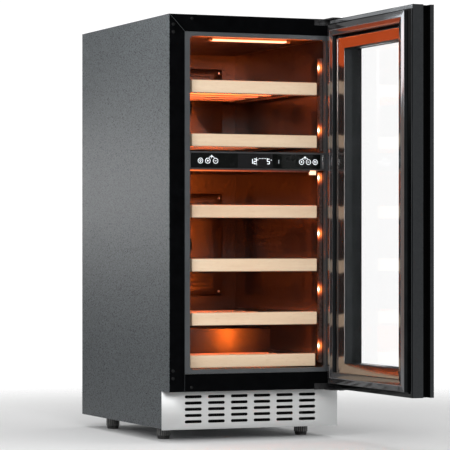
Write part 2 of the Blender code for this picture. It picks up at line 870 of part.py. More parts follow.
def door_frame(hinge):
    """Hollow frame: grip groove along the free edge, pocket for the outer glass, pin holes."""
    low, high = door_box((0, 0, 0), DOOR_FRONT, DOOR_BACK)
    bm, centre = box_bmesh(low, high)
    inner_edge = [
        edge
        for edge in bm.edges
        if all(v.co.x > 0 and v.co.y > 0 for v in edge.verts)
    ]
    bmesh.ops.bevel(bm, geom=inner_edge, offset=FRAME_CORNER, segments=3, profile=0.5, affect="EDGES")
    frame = add_part("door_frame", bm, "frame_paint", hinge, centre - Vector((PIVOT_X, PIVOT_Y, 0)))
    cut(frame, door_cutter("frame_window", FRAME_OPENING, -FAR, FAR, hinge))
    lip = (GLASS_LIP,) * 3
    cut(frame, door_cutter("glass_pocket", lip, -FAR, DOOR_GLASS_BACK + GAP, hinge))
    groove = box_cutter(
        "grip_groove",
        (-DOOR_HALF - THROUGH, GRIP_Y[0], DOOR_BOTTOM - THROUGH),
        (-DOOR_HALF + GRIP_DEPTH, GRIP_Y[1], DOOR_TOP + THROUGH),
        hinge,
        (PIVOT_X, PIVOT_Y, 0),
    )
    cut(frame, groove)
    pocket = door_cutter("frame_pocket", POCKET_OUT, POCKET_FRONT, THROUGH, hinge)
    cut(pocket, door_cutter("pocket_core", POCKET_IN, -FAR, FAR, hinge))
    cut(frame, pocket)
    for name, z in (("top", DOOR_TOP), ("bottom", DOOR_BOTTOM)):
        hole = cylinder_cutter(f"pin_hole_{name}", (0, 0, z), PIN_HOLE_R, PIN_HOLE_DEPTH * 2, hinge)
        cut(frame, hole)


def door_inner_frame(hinge):
    """Inner cover that carries the gasket: a flat rim, a slope and a reveal down to the inner pane."""
    rim = door_part("door_inner_frame", RIM_INSET, *RIM_Y, "frame_paint", hinge)
    cut(rim, door_cutter("reveal_block", REVEAL_INSET, *REVEAL_Y, hinge), "UNION")
    cut(rim, door_cutter("reveal_window", WINDOW_INSET, -FAR, FAR, hinge))
    low, high = door_box(WINDOW_INSET, SLOPE_FRONT, RIM_Y[1])
    slope, centre = box_bmesh(low, high)
    face = max(slope.verts, key=lambda v: v.co.y).co.y
    for vert in slope.verts:
        if vert.co.y > face - 1e-6:
            vert.co.x += math.copysign(SLOPE_WIDE[0], vert.co.x)
            vert.co.z += math.copysign(SLOPE_WIDE[1], vert.co.z)
            vert.co.y += SLOPE_OVER
    place = centre - Vector((PIVOT_X, PIVOT_Y, 0))
    cut(rim, as_cutter(add_part("reveal_slope", slope, None, hinge, place, cutters)))


def door(hinge):
    door_frame(hinge)
    door_inner_frame(hinge)
    gasket = door_part("door_gasket", GASKET_OUT, GASKET_BACK, GASKET_FACE, "rubber", hinge)
    cut(gasket, door_cutter("gasket_window", GASKET_IN, -FAR, FAR, hinge))
    bevel(gasket, GASKET_ROUND)
    lip = (GLASS_LIP + GAP,) * 3
    door_part("door_outer_glass", lip, DOOR_FRONT + GAP, DOOR_GLASS_BACK, "glass", hinge)
    door_part("door_inner_glass", REVEAL_INSET, *INNER_GLASS_Y, "glass", hinge)
    around = tuple(edge - SPACER_RIM for edge in WINDOW_INSET)
    front = DOOR_GLASS_BACK + GAP
    spacer = door_part("door_glass_spacer", around, front, SPACER_BACK, "aluminium", hinge)
    cut(spacer, door_cutter("spacer_window", WINDOW_INSET, -FAR, FAR, hinge))


# Hinges


def hinge_bracket(name, face_low, face_high, plate_low, plate_high, cabinet):
    """Angle bracket: a flange on the rail and a plate that reaches forward to the pin."""
    flange = box(
        name,
        (FLANGE_X[0], -FLANGE_THICK, face_low),
        (FLANGE_X[1], -GAP, face_high),
        "black_steel",
        cabinet,
    )
    plate = box_cutter(
        f"{name}_plate",
        (PLATE_X, PLATE_Y[0], plate_low),
        (FLANGE_X[1], PLATE_Y[1], plate_high),
        cabinet,
    )
    cut(flange, plate, "UNION")
    middle = (plate_low + plate_high) / 2
    centre = (PIVOT_X, PIVOT_Y, middle)
    cut(flange, cylinder_cutter(f"{name}_hole", centre, PIN_R + GAP, 2 * THROUGH, cabinet))


def hinge_pin(name, z_plate, direction, cabinet):
    """Headed pin: the head is outside the plate and the shank reaches 8 mm into the door."""
    centre = (PIVOT_X, PIVOT_Y, z_plate + direction * (PIN_HEAD_H / 2 + GAP))
    pin = cylinder(name, centre, PIN_HEAD_R, PIN_HEAD_H, "stainless", cabinet)
    centre = (PIVOT_X, PIVOT_Y, z_plate - direction * PIN_CENTRE_DROP)
    cut(pin, cylinder_cutter(f"{name}_shank", centre, PIN_R, PIN_SHANK, cabinet), "UNION")


def hinges(cabinet):
    low = DOOR_TOP + PLATE_GAP
    high = low + PLATE
    hinge_bracket("hinge_bracket_top", TOP_FLANGE_LOW, high, low, high, cabinet)
    hinge_pin("hinge_pin_top", high, 1, cabinet)
    high = DOOR_BOTTOM - PLATE_GAP
    low = high - PLATE
    hinge_bracket("hinge_bracket_bottom", low, BOTTOM_FLANGE_HIGH, low, high, cabinet)
    hinge_pin("hinge_pin_bottom", low, -1, cabinet)


# Feet


def foot_places():
    x = HALF_W - FOOT_SIDE
    return (
        ("foot_front_left", -x, FOOT_FRONT_Y),
        ("foot_front_right", x, FOOT_FRONT_Y),
        ("foot_rear_left", -x, FOOT_REAR_Y),
        ("foot_rear_right", x, FOOT_REAR_Y),
    )


def foot(name, x, y, cabinet):
    """Turned levelling foot, widest at the top, and its stem. The profile runs top to bottom."""
    base_top = CASING_BOTTOM - GAP
    profile = [
        (0, STEM_TOP),
        (STEM_R, STEM_TOP),
        (STEM_R, base_top),
        (FOOT_R, base_top),
        (FOOT_R * 0.95, FOOT_SHOULDER),
        (FOOT_R * 0.84, 0),
        (0, 0),
    ]
    mesh = bpy.data.meshes.new(name)
    points = [(radius, 0, height) for radius, height in profile]
    mesh.from_pydata(points, [(i, i + 1) for i in range(len(points) - 1)], [])
    mesh.materials.append(bpy.data.materials["rubber"])
    obj = bpy.data.objects.new(name, mesh)
    obj.parent = cabinet
    obj.location = (x, y, 0)
    parts.objects.link(obj)
    turn_profile(obj, 20)


def turn_profile(obj, steps):
    screw = obj.modifiers.new("turn", "SCREW")
    screw.axis = "Z"
    screw.steps = steps
    screw.render_steps = steps
    screw.use_merge_vertices = True
    screw.merge_threshold = 0.0001
    screw.use_smooth_shade = True


# Machine space


def compressor(cabinet):
    """Welded shell with domed ends on a mounting plate."""
    low, high = COMPRESSOR_Z
    radius, dome = COMPRESSOR_R, COMPRESSOR_DOME
    profile = [(0, high)]
    for step in range(1, 5):
        angle = math.radians(90 * step / 4)
        profile.append((radius * math.sin(angle), high - dome + dome * math.cos(angle)))
    seam = (low + high) / 2
    profile += [(radius, seam + SEAM_HALF), (radius + SEAM_OUT, seam + SEAM_HALF)]
    profile += [(radius + SEAM_OUT, seam - SEAM_HALF), (radius, seam - SEAM_HALF)]
    for step in range(0, 4):
        angle = math.radians(90 * step / 4)
        profile.append((radius * math.cos(angle), low + dome - dome * math.sin(angle)))
    profile.append((0, low))
    mesh = bpy.data.meshes.new("compressor")
    points = [(r, 0, z) for r, z in profile]
    mesh.from_pydata(points, [(i, i + 1) for i in range(len(points) - 1)], [])
    mesh.materials.append(bpy.data.materials["compressor_black"])
    shell = bpy.data.objects.new("compressor", mesh)
    shell.parent = cabinet
    shell.location = (*COMPRESSOR_AT, 0)
    parts.objects.link(shell)
    turn_profile(shell, 28)
    floor = CASING_BOTTOM + PAN + GAP
    (x0, x1), (y0, y1) = MOTOR_PLATE_X, MOTOR_PLATE_Y
    plate = box_cutter("compressor_plate", (x0, y0, floor), (x1, y1, MOTOR_PLATE_TOP), cabinet)
    cut(shell, plate, "UNION")


def condenser(cabinet):
    """Fin block behind the kick plate with its return bends at both ends."""
    half, (front, back), (low, high) = CONDENSER_HALF, CONDENSER_Y, CONDENSER_Z
    block = box("condenser", (-half, front, low), (half, back, high), "aluminium", cabinet)
    for row in range(3):
        centre = (0, (front + back) / 2, TUBE_FIRST + row * TUBE_PITCH)
        name = f"condenser_tube_{row + 1}"
        tube = cylinder_cutter(name, centre, TUBE_R, TUBE_LENGTH, cabinet, "X", 12)
        cut(block, tube, "UNION")


def condenser_fan(cabinet):
    shroud = box(
        "condenser_fan_shroud",
        (-SHROUD_HALF, SHROUD_Y[0], SHROUD_Z[0]),
        (SHROUD_HALF, SHROUD_Y[1], SHROUD_Z[1]),
        "dark_plastic",
        cabinet,
    )
    centre = SHROUD_FAN_AT
    cut(shroud, cylinder_cutter("shroud_hole", centre, SHROUD_HOLE_R, FAR, cabinet, "Y", 28))
    fan_rotor("condenser_fan_rotor", centre, SHROUD_FAN_R, SHROUD_FAN_THICK, cabinet)


# Assembly

clear_scene()
parts = new_collection("wine_cooler")
cutters = new_collection("cutters")
cutters.hide_render = True
make_materials()

cooler = make_empty("wine_cooler", (-ORIGIN_X, -ORIGIN_Y, 0))
casing(cooler)
rear_cover(cooler)
power_inlet(cooler)
rails(cooler)
opening_trim(cooler)
kick_plate(cooler)
liner(cooler)
insulation(cooler)
controls(cooler)
lights(cooler)
air_cover("upper", *UPPER_COVER_Z, cooler)
air_cover("lower", *LOWER_COVER_Z, cooler)
for shelf_index in range(len(SHELF_TOPS)):
    shelf(shelf_index, cooler)
door_hinge = make_empty("door_hinge", (PIVOT_X, PIVOT_Y, 0), cooler)
door_hinge.rotation_euler = (0, 0, math.radians(90))
door(door_hinge)
hinges(cooler)
for foot_name, foot_x, foot_y in foot_places():
    foot(foot_name, foot_x, foot_y, cooler)
compressor(cooler)
condenser(cooler)
condenser_fan(cooler)
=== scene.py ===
import math

import bmesh
import bpy
from mathutils import Matrix, Vector


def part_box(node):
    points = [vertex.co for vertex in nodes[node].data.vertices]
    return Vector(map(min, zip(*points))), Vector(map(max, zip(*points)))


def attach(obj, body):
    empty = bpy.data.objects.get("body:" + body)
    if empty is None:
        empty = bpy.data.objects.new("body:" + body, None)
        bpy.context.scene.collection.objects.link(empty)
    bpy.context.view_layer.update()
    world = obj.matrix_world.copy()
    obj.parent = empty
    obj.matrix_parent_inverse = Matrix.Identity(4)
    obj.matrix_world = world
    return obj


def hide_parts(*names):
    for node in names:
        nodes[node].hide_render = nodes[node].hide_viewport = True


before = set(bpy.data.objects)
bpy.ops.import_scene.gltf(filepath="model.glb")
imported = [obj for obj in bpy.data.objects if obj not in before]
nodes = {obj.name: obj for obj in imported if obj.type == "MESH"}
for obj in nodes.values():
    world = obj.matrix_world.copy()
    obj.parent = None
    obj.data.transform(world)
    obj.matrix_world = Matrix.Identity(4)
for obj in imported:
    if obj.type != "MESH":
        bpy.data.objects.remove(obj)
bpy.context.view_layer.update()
print("frame loaded:", len(nodes), "nodes")

# the cabinet's middle, its front plane and the hinge line, read from the frame
kickLow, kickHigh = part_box("kick_plate")
pinLow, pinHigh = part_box("hinge_pin_top")
middleX = (kickLow.x + kickHigh.x) / 2
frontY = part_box("rail_bottom")[0].y
hingeX = (pinLow.x + pinHigh.x) / 2
hingeY = (pinLow.y + pinHigh.y) / 2
cabinetPlace = Matrix.Translation((middleX, frontY, 0))
doorPlace = (
    Matrix.Translation((hingeX, hingeY, 0))
    @ Matrix.Rotation(math.radians(90), 4, "Z")
    @ Matrix.Translation((middleX - hingeX, frontY - hingeY, 0))
)  # door pieces are laid out as if the door were shut


def cabinetBox(name):
    low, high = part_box(name)
    back = cabinetPlace.inverted()
    return back @ low, back @ high


def doorBox(name):
    corners = [doorPlace.inverted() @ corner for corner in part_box(name)]
    low = Vector([min(c[i] for c in corners) for i in range(3)])
    high = Vector([max(c[i] for c in corners) for i in range(3)])
    return low, high


def addBox(bm, low, high, rounding=0.0, steps=2):
    low, high = Vector(low), Vector(high)
    made = bmesh.ops.create_cube(bm, size=1.0)["verts"]
    bmesh.ops.scale(bm, vec=high - low, verts=made)
    bmesh.ops.translate(bm, vec=(low + high) / 2, verts=made)
    if rounding:
        edges = list({edge for vert in made for edge in vert.link_edges})
        bmesh.ops.bevel(
            bm, geom=edges, offset=rounding, segments=steps, profile=0.5, affect="EDGES"
        )


def axisTurn(axis):
    if axis == "X":
        return Matrix.Rotation(math.radians(90), 3, "Y")
    if axis == "Y":
        return Matrix.Rotation(math.radians(-90), 3, "X")
    return Matrix.Identity(3)


def addTurned(bm, profile, centre, axis="Z", steps=32):
    # the profile runs along the axis as (radius, distance), closed on the axis at both ends
    turn = axisTurn(axis)
    rings = []
    for radius, along in profile:
        count = steps if radius > 1e-6 else 1
        angles = [math.tau * k / steps for k in range(count)]
        spots = [Vector((radius * math.cos(a), radius * math.sin(a), along)) for a in angles]
        rings.append([bm.verts.new(turn @ spot + Vector(centre)) for spot in spots])
    faces = []
    for one, two in zip(rings, rings[1:]):
        for k in range(steps):
            corners = [one[k % len(one)], one[(k + 1) % len(one)]]
            corners += [two[(k + 1) % len(two)], two[k % len(two)]]
            corners = list(dict.fromkeys(corners))
            if len(corners) > 2:
                faces.append(bm.faces.new(corners))
    bmesh.ops.recalc_face_normals(bm, faces=faces)


def addFrame(bm, loops, cornerSteps=1):
    # loops are (x0, x1, z0, z1, y, corner radius), joined one to the next and the last to the first
    rings = []
    for x0, x1, z0, z1, y, radius in loops:
        radius = max(radius, 0.00005)
        ring = []
        for cx, cz, start in ((x1, z1, 0), (x0, z1, 90), (x0, z0, 180), (x1, z0, 270)):
            inX = cx - math.copysign(radius, cx - (x0 + x1) / 2)
            inZ = cz - math.copysign(radius, cz - (z0 + z1) / 2)
            for step in range(cornerSteps + 1):
                angle = math.radians(start + 90 * step / cornerSteps)
                spot = (inX + radius * math.cos(angle), y, inZ + radius * math.sin(angle))
                ring.append(bm.verts.new(spot))
        rings.append(ring)
    faces = []
    count = len(rings[0])
    for index, one in enumerate(rings):
        two = rings[(index + 1) % len(rings)]
        for k in range(count):
            faces.append(bm.faces.new([one[k], one[(k + 1) % count], two[(k + 1) % count], two[k]]))
    bmesh.ops.recalc_face_normals(bm, faces=faces)


def addTube(bm, points, radius, sides=12):
    # a round bar bent through the points, with flat ends
    points = [Vector(p) for p in points]
    rings = []
    up = Vector((0, 0, 1))
    for index, point in enumerate(points):
        before = points[max(index - 1, 0)]
        after = points[min(index + 1, len(points) - 1)]
        way = (after - before).normalized()
        if abs(way.dot(up)) > 0.95:
            up = Vector((1, 0, 0))
        across = way.cross(up).normalized()
        up = across.cross(way).normalized()
        angles = [math.tau * k / sides for k in range(sides)]
        rings.append(
            [bm.verts.new(point + radius * (across * math.cos(a) + up * math.sin(a))) for a in angles]
        )
    faces = [bm.faces.new(rings[0]), bm.faces.new(rings[-1])]
    for one, two in zip(rings, rings[1:]):
        for k in range(sides):
            faces.append(bm.faces.new([one[k], one[(k + 1) % sides], two[(k + 1) % sides], two[k]]))
    bmesh.ops.recalc_face_normals(bm, faces=faces)


def smoothPath(points, steps=6):
    # rounds a listed route with a Catmull-Rom curve
    points = [Vector(p) for p in points]
    ends = [points[0] * 2 - points[1]] + points + [points[-1] * 2 - points[-2]]
    path = []
    for a, b, c, d in zip(ends, ends[1:], ends[2:], ends[3:]):
        for step in range(steps):
            t = step / steps
            path.append(
                0.5 * (2 * b + (c - a) * t + (2 * a - 5 * b + 4 * c - d) * t * t
                       + (3 * b - a - 3 * c + d) * t ** 3)
            )
    return path + [points[-1]]


def meshOf(bm, name):
    mesh = bpy.data.meshes.new(name)
    bm.to_mesh(mesh)
    bm.free()
    return mesh


def makePiece(name, shape, finish, body, place=cabinetPlace, stands=(), smooth=40):
    mesh = shape if isinstance(shape, bpy.types.Mesh) else meshOf(shape, name)
    mesh.name = name
    mesh.transform(place)
    mesh.shade_smooth()
    mesh.set_sharp_from_angle(angle=math.radians(smooth))
    if not mesh.materials or mesh.materials[0] is None:
        mesh.materials.clear()
        mesh.materials.append(finish)
    piece = bpy.data.objects.new(name, mesh)
    bpy.context.scene.collection.objects.link(piece)
    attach(piece, body)
    if stands:
        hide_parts(*stands)
    return piece


def put(tree, kind, values=None, **settings):
    made = tree.nodes.new(kind)
    for key, value in settings.items():
        setattr(made, key, value)
    for key, value in (values or {}).items():
        if isinstance(value, bpy.types.NodeSocket):
            tree.links.new(value, made.inputs[key])
        else:
            made.inputs[key].default_value = value
    return made


def startFinish(name, values):
    finish = bpy.data.materials.new(name)
    finish.use_nodes = True
    tree = finish.node_tree
    shader = tree.nodes["Principled BSDF"]
    for key, value in values.items():
        shader.inputs[key].default_value = value
    spot = tree.nodes.new("ShaderNodeTexCoord").outputs["Object"]
    return finish, tree, shader, spot


def stretched(tree, spot, scale):
    return put(tree, "ShaderNodeMapping", {"Vector": spot, "Scale": scale}).outputs[0]


def noise(tree, spot, scale, detail=3.0, roughness=0.5):
    values = {"Vector": spot, "Scale": scale, "Detail": detail, "Roughness": roughness}
    return put(tree, "ShaderNodeTexNoise", values).outputs[0]


def ramp(tree, factor, stops):
    made = put(tree, "ShaderNodeValToRGB", {"Fac": factor})
    band = made.color_ramp
    while len(band.elements) < len(stops):
        band.elements.new(0.5)
    for element, (where, colour) in zip(band.elements, stops):
        element.position = where
        element.color = (*colour, 1.0) if len(colour) == 3 else colour
    return made.outputs[0]


def spread(tree, factor, low, high):
    # stretches a noise value, which mostly lies between 0.3 and 0.7, over low to high
    values = {"Value": factor, "From Min": 0.3, "From Max": 0.7, "To Min": low, "To Max": high}
    return put(tree, "ShaderNodeMapRange", values).outputs[0]


def mixed(tree, factor, one, two, mode="MIX"):
    made = put(tree, "ShaderNodeMix", data_type="RGBA", blend_type=mode)
    for index, value in ((0, factor), (6, one), (7, two)):
        if isinstance(value, bpy.types.NodeSocket):
            tree.links.new(value, made.inputs[index])
        else:
            made.inputs[index].default_value = value
    return made.outputs[2]


def rough(tree, shader, factor, low, high):
    tree.links.new(spread(tree, factor, low, high), shader.inputs["Roughness"])


def bump(tree, shader, height, strength, distance, under=None):
    values = {"Height": height, "Strength": strength, "Distance": distance}
    if under:
        values["Normal"] = under
    made = put(tree, "ShaderNodeBump", values).outputs[0]
    tree.links.new(made, shader.inputs["Normal"])
    return made


def paint(tree, shader, colour):
    tree.links.new(colour, shader.inputs["Base Color"])


def startTree(name, inputs):
    tree = bpy.data.node_groups.new(name, "GeometryNodeTree")
    tree.is_modifier = True
    face = tree.interface
    face.new_socket("Geometry", in_out="OUTPUT", socket_type="NodeSocketGeometry")
    face.new_socket("Geometry", in_out="INPUT", socket_type="NodeSocketGeometry")
    for label, value in inputs.items():
        kind = {int: "Int", float: "Float", tuple: "Vector"}[type(value)]
        socket = face.new_socket(label, in_out="INPUT", socket_type=f"NodeSocket{kind}")
        socket.default_value = value
    face.new_socket("Finish", in_out="INPUT", socket_type="NodeSocketMaterial")
    return tree, tree.nodes.new("NodeGroupInput").outputs


def endTree(tree, geometry, given):
    whole = put(tree, "GeometryNodeRealizeInstances", {"Geometry": geometry})
    values = {"Geometry": whole.outputs[0], "Material": given["Finish"]}
    painted = put(tree, "GeometryNodeSetMaterial", values)
    out = tree.nodes.new("NodeGroupOutput")
    tree.links.new(painted.outputs[0], out.inputs[0])
    return tree


def grow(tree, finish, carrier=None, rounding=0.0, **values):
    # runs a tree on a carrier mesh and gives back one plain mesh
    settings = {key.lower(): value for key, value in values.items()}
    obj = bpy.data.objects.new("carrier", carrier or bpy.data.meshes.new("carrier"))
    bpy.context.scene.collection.objects.link(obj)
    modifier = obj.modifiers.new("grow", "NODES")
    modifier.node_group = tree
    for item in tree.interface.items_tree:
        if item.in_out != "INPUT" or item.name == "Geometry":
            continue
        key = item.name.replace(" ", "").lower()
        if item.name == "Finish":
            modifier[item.identifier] = finish
        elif key in settings:
            modifier[item.identifier] = settings.pop(key)
    if settings:
        raise ValueError(f"{tree.name} has no input for {', '.join(settings)}")
    if rounding:
        edge = obj.modifiers.new("rounding", "BEVEL")
        edge.width = rounding
        edge.segments = 2
        edge.limit_method = "ANGLE"
    graph = bpy.context.evaluated_depsgraph_get()
    result = bpy.data.meshes.new_from_object(obj.evaluated_get(graph))
    bpy.data.objects.remove(obj)
    return result


def pointsMesh(points):
    mesh = bpy.data.meshes.new("points")
    mesh.from_pydata([tuple(p) for p in points], [], [])
    return mesh


def joinMeshes(meshes):
    bm = bmesh.new()
    finishes = []
    for mesh in meshes:
        first = len(bm.faces)
        bm.from_mesh(mesh)
        bm.faces.ensure_lookup_table()
        shift = {}
        for index, material in enumerate(mesh.materials):
            if material not in finishes:
                finishes.append(material)
            shift[index] = finishes.index(material)
        for face in bm.faces[first:]:
            face.material_index = shift.get(face.material_index, 0)
    whole = meshOf(bm, "joined")
    for material in finishes:
        whole.materials.append(material)
    return whole


def screwTree():
    # pan heads with a cross recess, one at each point of the carrier
    tree, given = startTree(
        "screws",
        {"Radius": 0.003, "Height": 0.0012, "Recess": 0.0006, "Turn": (0.0, 0.0, 0.0)},
    )
    topRadius = put(tree, "ShaderNodeMath", {0: given["Radius"], 1: 0.72}, operation="MULTIPLY")
    head = put(
        tree,
        "GeometryNodeMeshCone",
        {
            "Vertices": 24,
            "Radius Top": topRadius.outputs[0],
            "Radius Bottom": given["Radius"],
            "Depth": given["Height"],
        },
    )
    arms = []
    armLength = put(tree, "ShaderNodeMath", {0: given["Radius"], 1: 1.15}, operation="MULTIPLY")
    for across in (False, True):
        size = put(
            tree,
            "ShaderNodeCombineXYZ",
            {
                "X": given["Recess"] if across else armLength.outputs[0],
                "Y": armLength.outputs[0] if across else given["Recess"],
                "Z": given["Height"],
            },
        )
        arms.append(put(tree, "GeometryNodeMeshCube", {"Size": size.outputs[0]}).outputs[0])
    cross = put(tree, "GeometryNodeMeshBoolean", operation="UNION")
    for arm in arms:
        tree.links.new(arm, cross.inputs[1])
    lift = put(tree, "ShaderNodeMath", {0: given["Height"], 1: 0.75}, operation="MULTIPLY")
    up = put(tree, "ShaderNodeCombineXYZ", {"Z": lift.outputs[0]})
    lifted = put(
        tree, "GeometryNodeTransform", {"Geometry": cross.outputs[0], "Translation": up.outputs[0]}
    )
    cutHead = put(tree, "GeometryNodeMeshBoolean", {0: head.outputs[0]}, operation="DIFFERENCE")
    tree.links.new(lifted.outputs[0], cutHead.inputs[1])
    half = put(tree, "ShaderNodeMath", {0: given["Height"], 1: 0.5}, operation="MULTIPLY")
    seat = put(tree, "ShaderNodeCombineXYZ", {"Z": half.outputs[0]})
    seated = put(
        tree,
        "GeometryNodeTransform",
        {"Geometry": cutHead.outputs[0], "Translation": seat.outputs[0]},
    )
    placed = put(
        tree,
        "GeometryNodeInstanceOnPoints",
        {"Points": given["Geometry"], "Instance": seated.outputs[0], "Rotation": given["Turn"]},
    )
    return endTree(tree, placed.outputs[0], given)


def rowTree():
    # a straight row of equal bars
    tree, given = startTree(
        "row",
        {"Count": 6, "Start": (0.0, 0.0, 0.0), "Step": (0.0, 0.07, 0.0), "Size": (0.1, 0.02, 0.01)},
    )
    line = put(
        tree,
        "GeometryNodeMeshLine",
        {"Count": given["Count"], "Start Location": given["Start"], "Offset": given["Step"]},
    )
    bar = put(tree, "GeometryNodeMeshCube", {"Size": given["Size"]})
    placed = put(
        tree, "GeometryNodeInstanceOnPoints", {"Points": line.outputs[0], "Instance": bar.outputs[0]}
    )
    return endTree(tree, placed.outputs[0], given)


def slotTree():
    # a grid of round-ended slots, cut from the carrier, which lies in the XZ plane
    tree, given = startTree(
        "slots",
        {
            "Columns": 6,
            "Rows": 5,
            "Pitch X": 0.0492,
            "Pitch Z": 0.0123,
            "Length": 0.035,
            "Radius": 0.00265,
            "Depth": 0.02,
            "Middle": (0.0, 0.0, 0.0),
        },
    )
    reach = put(tree, "ShaderNodeMath", {0: given["Length"], 1: 0.5}, operation="MULTIPLY")
    inner = put(
        tree, "ShaderNodeMath", {0: reach.outputs[0], 1: given["Radius"]}, operation="SUBTRACT"
    )
    values = {"Vertices": 20, "Radius": given["Radius"], "Depth": given["Depth"]}
    rod = put(tree, "GeometryNodeMeshCylinder", values)
    ends = []
    for side in (-1.0, 1.0):
        shift = put(tree, "ShaderNodeMath", {0: inner.outputs[0], 1: side}, operation="MULTIPLY")
        along = put(tree, "ShaderNodeCombineXYZ", {"X": shift.outputs[0]})
        values = {
            "Geometry": rod.outputs[0],
            "Translation": along.outputs[0],
            "Rotation": (math.radians(90), 0.0, 0.0),
        }
        ends.append(put(tree, "GeometryNodeTransform", values).outputs[0])
    pair = tree.nodes.new("GeometryNodeJoinGeometry")
    for end in ends:
        tree.links.new(end, pair.inputs[0])
    hull = put(tree, "GeometryNodeConvexHull", {"Geometry": pair.outputs[0]})
    grid = gridPoints(tree, given)
    placed = put(
        tree, "GeometryNodeInstanceOnPoints", {"Points": grid, "Instance": hull.outputs[0]}
    )
    cutters = put(tree, "GeometryNodeRealizeInstances", {"Geometry": placed.outputs[0]})
    cut = put(tree, "GeometryNodeMeshBoolean", {0: given["Geometry"]}, operation="DIFFERENCE")
    tree.links.new(cutters.outputs[0], cut.inputs[1])
    return endTree(tree, cut.outputs[0], given)


def gridPoints(tree, given):
    spans = []
    for count, pitch in (("Columns", "Pitch X"), ("Rows", "Pitch Z")):
        less = put(tree, "ShaderNodeMath", {0: given[count], 1: 1.0}, operation="SUBTRACT")
        spans.append(
            put(
                tree,
                "ShaderNodeMath",
                {0: less.outputs[0], 1: given[pitch]},
                operation="MULTIPLY",
            ).outputs[0]
        )
    grid = put(
        tree,
        "GeometryNodeMeshGrid",
        {
            "Size X": spans[0],
            "Size Y": spans[1],
            "Vertices X": given["Columns"],
            "Vertices Y": given["Rows"],
        },
    )
    stood = put(
        tree,
        "GeometryNodeTransform",
        {
            "Geometry": grid.outputs[0],
            "Rotation": (math.radians(90), 0.0, 0.0),
            "Translation": given["Middle"],
        },
    )
    return stood.outputs[0]


def guardTree():
    # a wire fan guard in the XZ plane: rings and spokes
    tree, given = startTree(
        "guard",
        {
            "Rings": 5,
            "Ring Step": 0.0075,
            "Spokes": 6,
            "Wire": 0.0006,
            "Middle": (0.0, 0.0, 0.0),
        },
    )
    index = tree.nodes.new("GeometryNodeInputIndex").outputs[0]
    line = put(tree, "GeometryNodeMeshLine", {"Count": given["Rings"], "Offset": (0.0, 0.0, 0.0)})
    plusOne = put(tree, "ShaderNodeMath", {0: index, 1: 1.0}, operation="ADD")
    size = put(
        tree,
        "ShaderNodeMath",
        {0: plusOne.outputs[0], 1: given["Ring Step"]},
        operation="MULTIPLY",
    )
    circle = put(tree, "GeometryNodeCurvePrimitiveCircle", {"Resolution": 40, "Radius": 1.0})
    rings = put(
        tree,
        "GeometryNodeInstanceOnPoints",
        {"Points": line.outputs[0], "Instance": circle.outputs[0], "Scale": size.outputs[0]},
    )
    far = put(
        tree,
        "ShaderNodeMath",
        {0: given["Rings"], 1: given["Ring Step"]},
        operation="MULTIPLY",
    )
    ends = []
    for source in (given["Ring Step"], far.outputs[0]):
        ends.append(put(tree, "ShaderNodeCombineXYZ", {"X": source}).outputs[0])
    ray = put(tree, "GeometryNodeCurvePrimitiveLine", {"Start": ends[0], "End": ends[1]})
    hub = put(tree, "GeometryNodeMeshLine", {"Count": given["Spokes"], "Offset": (0.0, 0.0, 0.0)})
    wedge = put(
        tree, "ShaderNodeMath", {0: math.tau, 1: given["Spokes"]}, operation="DIVIDE"
    )
    angle = put(
        tree, "ShaderNodeMath", {0: index, 1: wedge.outputs[0]}, operation="MULTIPLY"
    )
    turn = put(tree, "ShaderNodeCombineXYZ", {"Z": angle.outputs[0]})
    spokes = put(
        tree,
        "GeometryNodeInstanceOnPoints",
        {"Points": hub.outputs[0], "Instance": ray.outputs[0], "Rotation": turn.outputs[0]},
    )
    both = tree.nodes.new("GeometryNodeJoinGeometry")
    tree.links.new(rings.outputs[0], both.inputs[0])
    tree.links.new(spokes.outputs[0], both.inputs[0])
    flat = put(tree, "GeometryNodeRealizeInstances", {"Geometry": both.outputs[0]})
    section = put(
        tree, "GeometryNodeCurvePrimitiveCircle", {"Resolution": 8, "Radius": given["Wire"]}
    )
    wires = put(
        tree,
        "GeometryNodeCurveToMesh",
        {"Curve": flat.outputs[0], "Profile Curve": section.outputs[0], "Fill Caps": True},
    )
    stood = put(
        tree,
        "GeometryNodeTransform",
        {
            "Geometry": wires.outputs[0],
            "Rotation": (math.radians(90), 0.0, 0.0),
            "Translation": given["Middle"],
        },
    )
    return endTree(tree, stood.outputs[0], given)


def ribTree():
    # upright ribs round a circle
    tree, given = startTree(
        "ribs",
        {"Count": 30, "Radius": 0.012, "Size": (0.001, 0.0009, 0.006), "Middle": (0.0, 0.0, 0.0)},
    )
    index = tree.nodes.new("GeometryNodeInputIndex").outputs[0]
    ring = put(
        tree, "GeometryNodeMeshCircle", {"Vertices": given["Count"], "Radius": given["Radius"]}
    )
    share = put(tree, "ShaderNodeMath", {0: math.tau, 1: given["Count"]}, operation="DIVIDE")
    angle = put(
        tree, "ShaderNodeMath", {0: index, 1: share.outputs[0]}, operation="MULTIPLY"
    )
    turn = put(tree, "ShaderNodeCombineXYZ", {"Z": angle.outputs[0]})
    rib = put(tree, "GeometryNodeMeshCube", {"Size": given["Size"]})
    placed = put(
        tree,
        "GeometryNodeInstanceOnPoints",
        {"Points": ring.outputs[0], "Instance": rib.outputs[0], "Rotation": turn.outputs[0]},
    )
    moved = put(
        tree,
        "GeometryNodeTransform",
        {"Geometry": placed.outputs[0], "Translation": given["Middle"]},
    )
    return endTree(tree, moved.outputs[0], given)


